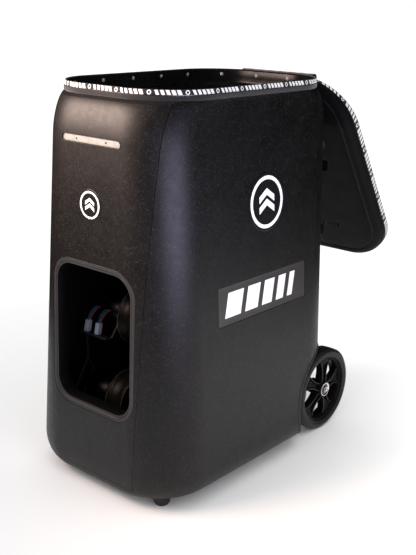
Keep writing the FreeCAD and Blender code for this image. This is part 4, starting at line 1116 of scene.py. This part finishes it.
def wheel(side):
    """One travel wheel, with its tyre, rim and hub cap, on the right for 1 and on the left for -1."""
    name = "right" if side > 0 else "left"
    body = name + "_travel_wheel"
    centre = (0, WHEEL_Y, WHEEL_R)
    axis = (1, 0, 0)
    middle = (TYRE_X0 + TYRE_X1) / 2

    def place(point):
        return (side * point[0], point[1], point[2])

    tyre = Shape()
    half = (TYRE_X1 - TYRE_X0) / 2
    section = [(-0.82, 60.2), (-0.9, 61.3), (-0.93, 63.2), (-0.95, 63.8), (-0.93, 64.4), (-1.0, 65.6),
               (-1.0, 67.6), (-0.965, 70.0), (-0.88, 72.2), (-0.78, 73.4)]
    profile = [(middle + half * a, radius) for a, radius in section]
    for rib in (-0.6, -0.2, 0.2, 0.6):
        crown = 75.0 - 1.4 * rib ** 2
        for offset, drop in ((-0.17, 1.3), (-0.14, 0.0), (0.14, 0.0), (0.17, 1.3)):
            profile.append((middle + half * (rib + offset), crown - drop))
    profile += [(middle - half * a, radius) for a, radius in reversed(section)]
    tyre.lathe(centre, axis, profile, steps=120, ringed=True)
    tyre.piece(name + "_tyre_ribbed", "tyre", "tyre", body, [name + "_tyre"], where=place, sharp=40)

    rim = Shape()
    x0, x1 = TYRE_X0 + 3, TYRE_X0 + 26
    rim.lathe(centre, axis, [(x0, 60), (x0, 54.5), (x0 + 1.5, 53.4), (x0 + 5, 52.7), (x1 - 6, 53.2),
                             (x1 - 3, 54.6), (x1 - 1.4, 56.6), (x1 - 0.9, 58.6), (x1 - 0.9, 60)],
              steps=120, ringed=True)
    hub_x0, hub_x1 = TYRE_X0 - 1, TYRE_X1 - 2
    rim.lathe(centre, axis, [(hub_x0, 6.1), (hub_x0, 12.4), (hub_x0 + 1.2, 13.6), (hub_x0 + 4, 14),
                             (hub_x1 - 7, 15.5), (hub_x1 - 3, 15.2), (hub_x1 - 0.8, 14.4), (hub_x1, 13.4),
                             (hub_x1, 6.1)],
              steps=72, ringed=True)
    for i in range(5):
        rings = spoke_rings(math.radians(SPOKE_PHASE + 72 * i), middle)
        rim.loft(rings, caps=True)
        # thin tubes along the ridge crests, in a lighter paint: painted highlights on the spoke ridges
        for crest in (3, 9):
            rim.tube([ring[crest] for ring in rings], 0.55, 8, paint=1)
    rim.piece(name + "_wheel_spoked", "wheel_gloss wheel_edge", "wheel_gloss", body,
              [name + "_wheel"], where=place, sharp=50)

    cap = Shape()
    x = TYRE_X1 - 2
    cap.lathe(centre, axis, [(x, 12.2), (x + 1.9, 12.6), (x + 2.5, 12.3), (x + 2.7, 11.6), (x + 2.4, 10.9),
                             (x + 0.9, 9.8)], steps=64)
    # the cap's dish takes the second, darker steel paint: painted shade in the recess inside the chrome lip
    cap.lathe(centre, axis, [(x + 0.9, 9.8), (x + 0.5, 8.6), (x + 0.4, 0.5)], steps=64, paint=1)
    cap.piece(name + "_hub_cap_chrome", "chrome dark_steel", "chrome", body,
              [name + "_hub_cap"], where=place, sharp=40)
    nut = Shape()
    hexagon = []
    for along, radius in ((0.4, 6.4), (3.2, 6.4), (3.9, 5.8), (4.0, 4.2)):
        hexagon.append([(x + along, WHEEL_Y + radius * c, WHEEL_R + radius * s) for c, s in circle(6)])
    nut.loft(hexagon, caps=True)
    nut.lathe(centre, axis, [(x + 3.9, 3.4), (x + 4.9, 3.2), (x + 5.2, 2.4), (x + 5.25, 0.3)],
              steps=24, caps=True)
    nut.piece(name + "_wheel_nut", "warm_steel", "steel", body, where=place, sharp=30)


def feet():
    shape = Shape()
    profile = [(1.6, 4.0), (0.4, 4.6), (0.0, 6.0), (0.25, 8.0), (1.2, 9.8), (3.0, 11.2), (4.6, 12.0),
               (6.2, 12.5), (6.7, 13.0), (7.4, 12.9), (13, 14.9), (19.5, 16.6), (20.0, 16.4), (20.0, 4.0)]
    shape.lathe((108, -183, 0), (0, 0, 1), profile, steps=64, ringed=True)
    shape.mirror()
    shape.piece("foot_rubbers", "rubber", "rubber", replaces=["front_feet"], sharp=50)


# ---------------------------------------------------------------- inside
def in_launcher(x, forward, up):
    """A place given along and across the line of throw, as it lies at rest."""
    tilt = math.radians(LAUNCH_ANGLE)
    return (x, PIVOT_Y - forward * math.cos(tilt) + up * math.sin(tilt),
            PIVOT_Z + forward * math.sin(tilt) + up * math.cos(tilt))


def throw_rings():
    """Thin lighter bronze rings at the edges of the two throw wheels: painted highlights."""
    for body, up in (("lower_thrower", -WHEEL_OFFSET), ("upper_thrower", WHEEL_OFFSET)):
        shape = Shape()
        section = [(0.55 * math.cos(math.pi * k / 4), THROW_R - 1.0 + 0.55 * math.sin(math.pi * k / 4))
                   for k in range(8)]
        for edge in (-THROW_HALF_W, THROW_HALF_W):
            shape.lathe(in_launcher(edge, NIP_FORWARD, up), (1, 0, 0), section, steps=96, ringed=True)
        shape.piece(body + "_edges", "throw_rim_highlight", "throw_rubber", body)


def motor_wires():
    """Six short leads between the plugs and the motors, one tube for each."""
    shape = Shape()
    wire_paints = {-1: 1, 0: 2, 1: 0}
    for x in (-90, -66):
        for i in (-1, 0, 1):
            path = []
            for k in range(13):
                t = k / 12
                forward = PLUG_FORWARD - 14.0 * t ** 1.5
                up = PLUG_UP + 9.6 + 22.4 * (1 - (1 - t) ** 1.8)
                path.append(in_launcher(x + 2.4 * i + (5 + i) * t + 1.1 * math.sin(math.pi * t) * i,
                                        forward, up))
            shape.tube(path, 0.62, 10, paint=wire_paints[i])
    shape.piece("motor_leads", "red_wire blue_wire green_wire", "wire_sleeve", "cradle", ["motor_wires"])


def battery_webbing():
    """The strap over the battery: up one side, across the top and down the other, with its ends turned out at
    the bottom.
    """
    shape = Shape()
    half = 14.0
    top = 105.2
    outline = [(77, 24.4), (86, 24.6), (89.6, 26.5), (89.8, 100), (90.6, 103.4), (93.5, top),
               (130, top + 0.3), (166.5, top), (169.4, 103.4), (170.2, 100), (170.4, 26.5), (174, 24.6),
               (183, 24.4)]
    rings = []
    for x, lift in ((-half, 0.2), (-half + 0.6, 1.3), (half - 0.6, 1.3), (half, 0.2)):
        rings.append([(x, 130 + (y - 130) * (1 + 0.012 * lift), z + lift * 0.6) for y, z in outline])
    rings += [[(x, y, z - 0.3) for y, z in outline] for x in (half, -half)]
    shape.loft(rings, closed=False, ringed=True)
    shape.piece("battery_webbing", "web", "strap_web", replaces=["battery_strap"], sharp=70)


def handle_grip():
    """The telescopic handle: two bright slides and a ribbed rubber grip with a pocket for its button."""
    slides = Shape()
    for x in (-TUBE_X, TUBE_X):
        slides.lathe((x, TUBE_Y, 345), (0, 0, 1), [(0, 6.4), (0.8, 7), (152, 7), (153, 6.6)], steps=32,
                     caps=True)
    slides.piece("handle_slides", "chrome", "steel", "pull_handle", ["handle"])
    grip = Shape()
    profile = [(-88, 2.0), (-88, 7.4), (-87, 8.6), (-85.4, 9.0)]
    x = -74.0
    while x < 75.0:
        if abs(x) > 19.0:
            profile += [(x - 1.5, 9.0), (x - 0.9, 8.3), (x + 0.9, 8.3), (x + 1.5, 9.0)]
        x += 6.0
    profile += [(85.4, 9.0), (87, 8.6), (88, 7.4), (88, 2.0)]
    grip.lathe((0, TUBE_Y, GRIP_Z), (1, 0, 0), profile, steps=40, caps=True)
    bar = grip.piece("handle_grip_rubber", "rubber", "rubber", "pull_handle")
    carve(bar, [box_shape(-12.4, 12.4, TUBE_Y - 5.4, TUBE_Y + 5.4, GRIP_Z + 1, GRIP_Z + 20)])


def rectangle(u, v, a, b):
    """The corners of a rectangle round (u, v), from its half width and half height."""
    return [(u - a, v - b), (u + a, v - b), (u + a, v + b), (u - a, v + b)]


def button_signs():
    """Plain signs on the four buttons: a triangle, a square, a minus and a plus."""
    y = REAR_PANEL_Y + 2.0

    def place(u, v, lift):
        return (u, y + lift, v)

    z = BUTTON_Z
    signs = (
        ("button_a", [[(-38, z - 2.8), (-33, z), (-38, z + 2.8)]]),
        ("button_b", [rectangle(-12, z, 2.3, 2.3)]),
        ("button_c", [rectangle(12, z, 2.8, 0.7)]),
        ("button_d", [rectangle(36, z, 2.8, 0.7), rectangle(36, z, 0.7, 2.8)]),
    )
    for body, outlines in signs:
        shape = Shape()
        for corners in outlines:
            polygon_film(shape, corners, place, thickness=0.12)
        shape.piece(body + "_sign", "white", "badge_print", body)


def display_bars():
    """Level bars behind the display window."""
    shape = Shape()

    def place(u, v, lift):
        return (u, REAR_PANEL_Y - 0.42 + lift, v)

    for row, lit in ((305.5, 7), (299.0, 4), (292.5, 9)):
        for i in range(lit):
            u = -32 + i * 6.6
            polygon_film(shape, rectangle(u + 2.3, row, 2.3, 1.3), place, thickness=0.06)
    shape.piece("display_bars", "lit", "display_glass")


# ---------------------------------------------------------------- lid and hinge cloth
def opened(point):
    """Where a point of the closed lid is when the lid hangs open."""
    x, y, z = point
    dy, dz = y - HINGE_Y, z - HINGE_Z
    c, s = math.cos(LID_ANGLE), math.sin(LID_ANGLE)
    return (x, HINGE_Y + dy * c + dz * s, HINGE_Z - dy * s + dz * c)


def lid_height(y, z):
    """The lid's top falls towards the hinge behind the wedge line."""
    fall = max(0.0, y - LID_WEDGE_Y) * LID_WEDGE_FALL
    share = (z - LID_Z0) / (LID_TOP_Z - LID_Z0)
    return z - fall * max(0.0, share)


def lid_ring(inset, z):
    """The lid's outline drawn in by inset, with the small puckers that its seam pulls into the cloth."""
    pull = 0.45 * math.exp(-((inset - LID_SEAM_INSET - 5.0) / 4.0) ** 2)
    ring = []
    for x, y, z in plan_ring(rim_outline(inset), z, 24, 40):
        pucker = math.sin(0.23 * y + 0.19 * x) + 0.5 * math.sin(0.41 * y - 0.33 * x)
        ring.append((x, y, lid_height(y, z) + pull * pucker))
    return ring


def ladder(shape, ring, paint=0):
    """Fills a ring that is the same left and right, with rungs across it."""
    left = [p for p in ring if p[0] < -0.01]
    right = [p for p in ring if p[0] > 0.01]
    left.sort(key=lambda p: (p[1], p[0]))
    right.sort(key=lambda p: (p[1], -p[0]))
    points = []
    across = 6
    for a, b in zip(left, right):
        points += [tuple(a[i] + (b[i] - a[i]) * k / across for i in range(3)) for k in range(across + 1)]
    faces = []
    width = across + 1
    for row in range(len(left) - 1):
        for k in range(across):
            low = row * width + k
            faces.append((low, low + 1, low + 1 + width, low + width))
    shape.add(points, faces, paint)


def lid_pad():
    """The padded lid: a rolled border, a stitched groove, a flat face with a faint ring, and its lining."""
    shape = Shape()
    outside = [(3.6, 625.7), (1.2, 625.5), (0.2, 626.2), (0.0, 628.0), (0.0, 636.0), (0.1, 640.0),
               (0.6, 643.4), (1.8, 646.6), (3.8, 649.4), (6.6, 651.6), (10.0, 652.9), (13.5, 653.2),
               (16.5, 652.6), (18.3, 651.6), (19.2, 651.3), (20.2, 651.7), (22.5, 652.3), (28, 652.7),
               (38, 652.95), (50, 653.0), (62, 653.0), (74, 653.0), (84, 653.0)]
    rings = [lid_ring(inset, z) for inset, z in outside]
    shape.loft(rings)
    ladder(shape, rings[-1])
    inside = [(3.6, 625.7), (4.0, 628.0), (4.2, 638), (5.4, 643.2), (8.4, 647.0), (12.5, 648.4),
              (15.5, 648.7), (17.0, 649.1), (18.6, 648.7), (24, 648.6), (38, 648.4), (56, 648.3),
              (72, 648.3), (84, 648.3)]
    rings = [lid_ring(inset, z) for inset, z in inside]
    shape.loft(rings, paint=1)
    ladder(shape, rings[-1], paint=1)
    pad = shape.piece("lid_pad", "lid lining", "lid_fabric", "lid", ["lid_panel"], where=opened,
                      sharp=60, recalc=False)
    face_outward(pad.data, join=True)


def lid_trim():
    """The tape round the lid's edge with its pattern, the stitches in the groove, and the raised ring."""
    def tape_inset(up):
        return -0.7 - 0.15 * math.sin(math.pi * up)

    def tape_point(distance, up, lift=0.0):
        z = LID_Z0 + 0.3 + 11.0 * up
        x, y, z = rim_point(distance, tape_inset(up) - lift, z)
        return (x, y, lid_height(y, z))

    tape = Shape()
    stations = 200
    pitch = RIM_LENGTH / stations
    rings = []
    for k in range(stations):
        ring = [tape_point(pitch * k, up / 6) for up in range(7)]
        for inset, z in ((0.05, LID_Z0 + 11.8), (0.1, LID_Z0 + 0.1)):
            x, y, z = rim_point(pitch * k, inset, z)
            ring.append((x, y, lid_height(y, z)))
        rings.append(ring)
    tape.loft(rings, ringed=True)
    tape.piece("lid_edge_tape", "tape", "tape_fabric", "lid", ["lid_tape"], where=opened, sharp=60)

    marks = Shape()
    mark_row(marks, lambda distance, up: tape_point(distance, up, 0.12), MARK_PITCH, height=(0.12, 0.88))
    printed_row = marks.piece("lid_tape_marks", "mark", "badge_print", "lid", recalc=False, where=opened)
    thicken(printed_row, 0.1, offset=0, sharp=60)

    stitches = Shape()
    outline = rim_outline(LID_SEAM_INSET)
    ring = ring_uv(outline, 40, 60)
    for i in range(0, len(ring)):
        (ax, ay), (bx, by) = ring[i], ring[(i + 1) % len(ring)]
        length = math.hypot(bx - ax, by - ay)
        count = max(1, round(length / 5.2))
        for k in range(count):
            a = (k + 0.18) / count
            b = (k + 0.82) / count
            path = []
            for t, lift in ((a, -0.1), ((a * 2 + b) / 3, 0.35), ((a + b * 2) / 3, 0.35), (b, -0.1)):
                x, y = between((ax, ay), (bx, by), t)
                path.append((x, y, lid_height(y, 651.3) + lift))
            if length / count > 2.0 or i % 2 == 0:
                stitches.tube(path, 0.35, 6)
    stitches.piece("lid_stitches", "thread", "tape_fabric", "lid", where=opened)

    ring_shape = Shape()
    rings = []
    for radius, lift in ((48.6, -0.3), (48.0, 0.35), (47.2, 0.7), (43.8, 0.7), (43.0, 0.35), (42.4, -0.3)):
        rings.append([(radius * c, 10 + radius * s, LID_TOP_Z + lift) for c, s in circle(72)])
    ring_shape.loft(rings, ringed=True)
    ring_shape.piece("lid_raised_ring", "lid", "lid_fabric", "lid", where=opened, sharp=60)


def hinge_cloth():
    """The sewn cloth that carries the lid: from the band, under the hinge line, to the lid's edge."""
    lid_edge = opened((0, RIM_REAR - 1.0, LID_Z0 + 5.0))[1:]
    spine = [(RIM_REAR + 0.9, 611.0), (RIM_REAR + 1.0, 615.0), (RIM_REAR + 1.8, 619.5),
             (RIM_REAR + 4.6, 623.2), (RIM_REAR + 9.0, 625.4), (RIM_REAR + 14.0, 625.8),
             (RIM_REAR + 19.0, 624.6), (lid_edge[0] + 0.5, lid_edge[1] + 1.2)]
    curve = bpy.data.curves.new("hinge_spine", "CURVE")
    line = curve.splines.new("NURBS")
    line.points.add(len(spine) - 1)
    for point, (y, z) in zip(line.points, spine):
        point.co = (*at(0, y, z), 1)
    line.order_u = 4
    line.use_endpoint_u = True
    line.resolution_u = 6
    holder = bpy.data.objects.new("hinge_spine", curve)
    bpy.context.scene.collection.objects.link(holder)
    bpy.context.view_layer.update()
    walk = bpy.data.meshes.new_from_object(holder)
    path = [(v.co.y / MM - SHIFT_Y, v.co.z / MM) for v in walk.vertices]
    bpy.data.objects.remove(holder)
    rows = []
    columns = 31
    for k, (y, z) in enumerate(path):
        t = k / (len(path) - 1)
        row = []
        for c in range(columns):
            x = -HINGE_HALF + 2 * HINGE_HALF * c / (columns - 1)
            pucker = 0.5 * math.sin(math.pi * t) * math.sin(x * 0.42) * math.cos(x * 0.13)
            row.append((x, y, z + pucker))
        rows.append(row)
    shape = Shape()
    shape.loft(rows, closed=False)
    cloth = shape.piece("hinge_cloth", "band", "band_fabric", body=None, sharp=70, recalc=False)
    thicken(cloth, 1.1, offset=0, sharp=60)
    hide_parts("hinge_strip", "lid_leaf")
    length = sum(math.dist(a, b) for a, b in zip(path, path[1:])) * MM
    at(0, *spine[2])
    at(0, *spine[-1])
    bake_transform(cloth)


# ---------------------------------------------------------------- CAD pieces that are shown as they are
def dress(name, paint, width=0.0, segments=2):
    node = nodes[name]
    node.data.materials.clear()
    node.data.materials.append(PAINTS[paint])
    if width:
        soften(node, width, segments, weld=True)


def dress_frame():
    for name, paint, width in (
        ("light_bar_board", "board", 0.3), ("base_plate", "dark", 1.0), ("screws", "steel", 0.6),
        ("wheel_wells", "dark", 0.6), ("axle_beam", "dark", 0.8), ("axle", "steel", 0.6),
        ("feed_motor", "motor", 0.8), ("ball_chute", "dark", 0.5), ("yaw_motor", "motor", 0.8),
        ("battery_pack", "battery", 0.0), ("control_board", "board", 0.3), ("rear_panel", "dark", 0.7),
        ("display_lens", "glass", 0.3), ("charge_socket", "rubber", 0.4), ("handle_tubes", "black_tube", 0.7),
        ("zip_slider", "zip_metal", 0.6), ("feed_turntable", "bezel", 2.0), ("launcher_yoke", "bracket", 0.6),
        ("pitch_motor", "motor", 0.8), ("launcher_cradle", "bracket", 0.5), ("motor_plugs", "plug", 1.0),
        ("power_rocker", "red", 0.5), ("socket_cap", "rubber", 0.5), ("release_button", "red", 0.8),
        ("zip_pull_tab", "zip_metal", 0.4),
    ):
        dress(name, paint, width)
    for place in ("lower", "upper"):
        dress(place + "_wheel_motor", "motor", 0.9)
        dress(place + "_throw_wheel", "throw", 0.8)
        dress(place + "_throw_hub", "bronze", 0.6)
    for number in range(1, 5):
        dress("button_%d" % number, "button", 0.8)


# ---------------------------------------------------------------- floor, light and camera
# The floor is in mm, in the body's frame. The camera's place is in metres, in the row frame, and
# its turn, which is yaw, pitch and roll, in degrees. Its lens is in mm.
FLOOR_X = 150.0
FLOOR_Y = 100.0
FLOOR_R = 950.0
WORLD_LIGHT = 1.15
CAMERA_AT = (0.9559, -1.1999, 0.7461)
CAMERA_TURN = (40.2, 17.1, 1.36)
CAMERA_LENS = 59.25


def stage():
    shape = Shape()
    edge = [(FLOOR_X + FLOOR_R * c, FLOOR_Y + FLOOR_R * s, 0) for c, s in circle(96)]
    shape.add(edge, [tuple(range(len(edge)))])
    floor = shape.piece("floor", "floor", None, body=None, recalc=False)
    world = bpy.data.worlds.new("studio")
    bpy.context.scene.world = world
    world.use_nodes = True
    world.node_tree.nodes["Background"].inputs[0].default_value = (1.0, 1.0, 1.0, 1)
    world.node_tree.nodes["Background"].inputs[1].default_value = WORLD_LIGHT
    world.cycles_visibility.glossy = False


def soft_light(name, place, target, size, power, colour, spread=180):
    light = bpy.data.lights.new(name, "AREA")
    light.shape = "RECTANGLE"
    light.size, light.size_y = size
    light.energy = power
    light.spread = math.radians(spread)
    light.color = colour
    obj = bpy.data.objects.new(name, light)
    bpy.context.scene.collection.objects.link(obj)
    obj.location = place
    obj.rotation_euler = (Vector(target) - Vector(place)).to_track_quat("-Z", "Y").to_euler()
    obj.visible_camera = False


def lights():
    soft_light("warm_front_left", (-0.34, -0.76, 0.8), (0, -0.33, 0.57), (0.62, 0.4), 3.9,
               (1.0, 0.76, 0.65), 75)
    soft_light("cool_corner", (0.7, -0.44, 0.4), (0.12, -0.31, 0.45), (0.5, 0.26), 0.95, (0.74, 0.7, 1.0), 80)
    soft_light("floor_rear_right", (0.75, 0.35, 1.1), (0.75, 0.35, 0.0), (0.5, 0.5), 1.6, (1.0, 0.98, 0.96),
               60)
    soft_light("overhead", (0.2, -0.2, 2.3), (0, -0.1, 0.5), (1.4, 1.4), 2.5, (0.93, 0.95, 1.0))


def camera():
    yaw, pitch, roll = (math.radians(a) for a in CAMERA_TURN)
    ahead = Vector((-math.sin(yaw) * math.cos(pitch), math.cos(yaw) * math.cos(pitch), -math.sin(pitch)))
    right = Vector((math.cos(yaw), math.sin(yaw), 0))
    up = right.cross(ahead)
    right, up = right * math.cos(roll) + up * math.sin(roll), up * math.cos(roll) - right * math.sin(roll)
    data = bpy.data.cameras.new("camera")
    data.lens = CAMERA_LENS
    data.sensor_width = 36.0
    obj = bpy.data.objects.new("camera", data)
    turn = Matrix((right, up, -ahead)).transposed().to_4x4()
    obj.matrix_world = Matrix.Translation(CAMERA_AT) @ turn
    bpy.context.scene.collection.objects.link(obj)
    bpy.context.scene.camera = obj


bpy.context.scene.view_settings.view_transform = "Standard"
camera()
stage()
lights()
dress_frame()
shell_skin()
front_skin()
window_bezel()
light_bar()
rim_trim()
badges()
bowl_skin()
rivet_domes()
arch_lips()
wheel(1)
wheel(-1)
feet()
throw_rings()
motor_wires()
battery_webbing()
handle_grip()
button_signs()
display_bars()
lid_pad()
lid_trim()
hinge_cloth()
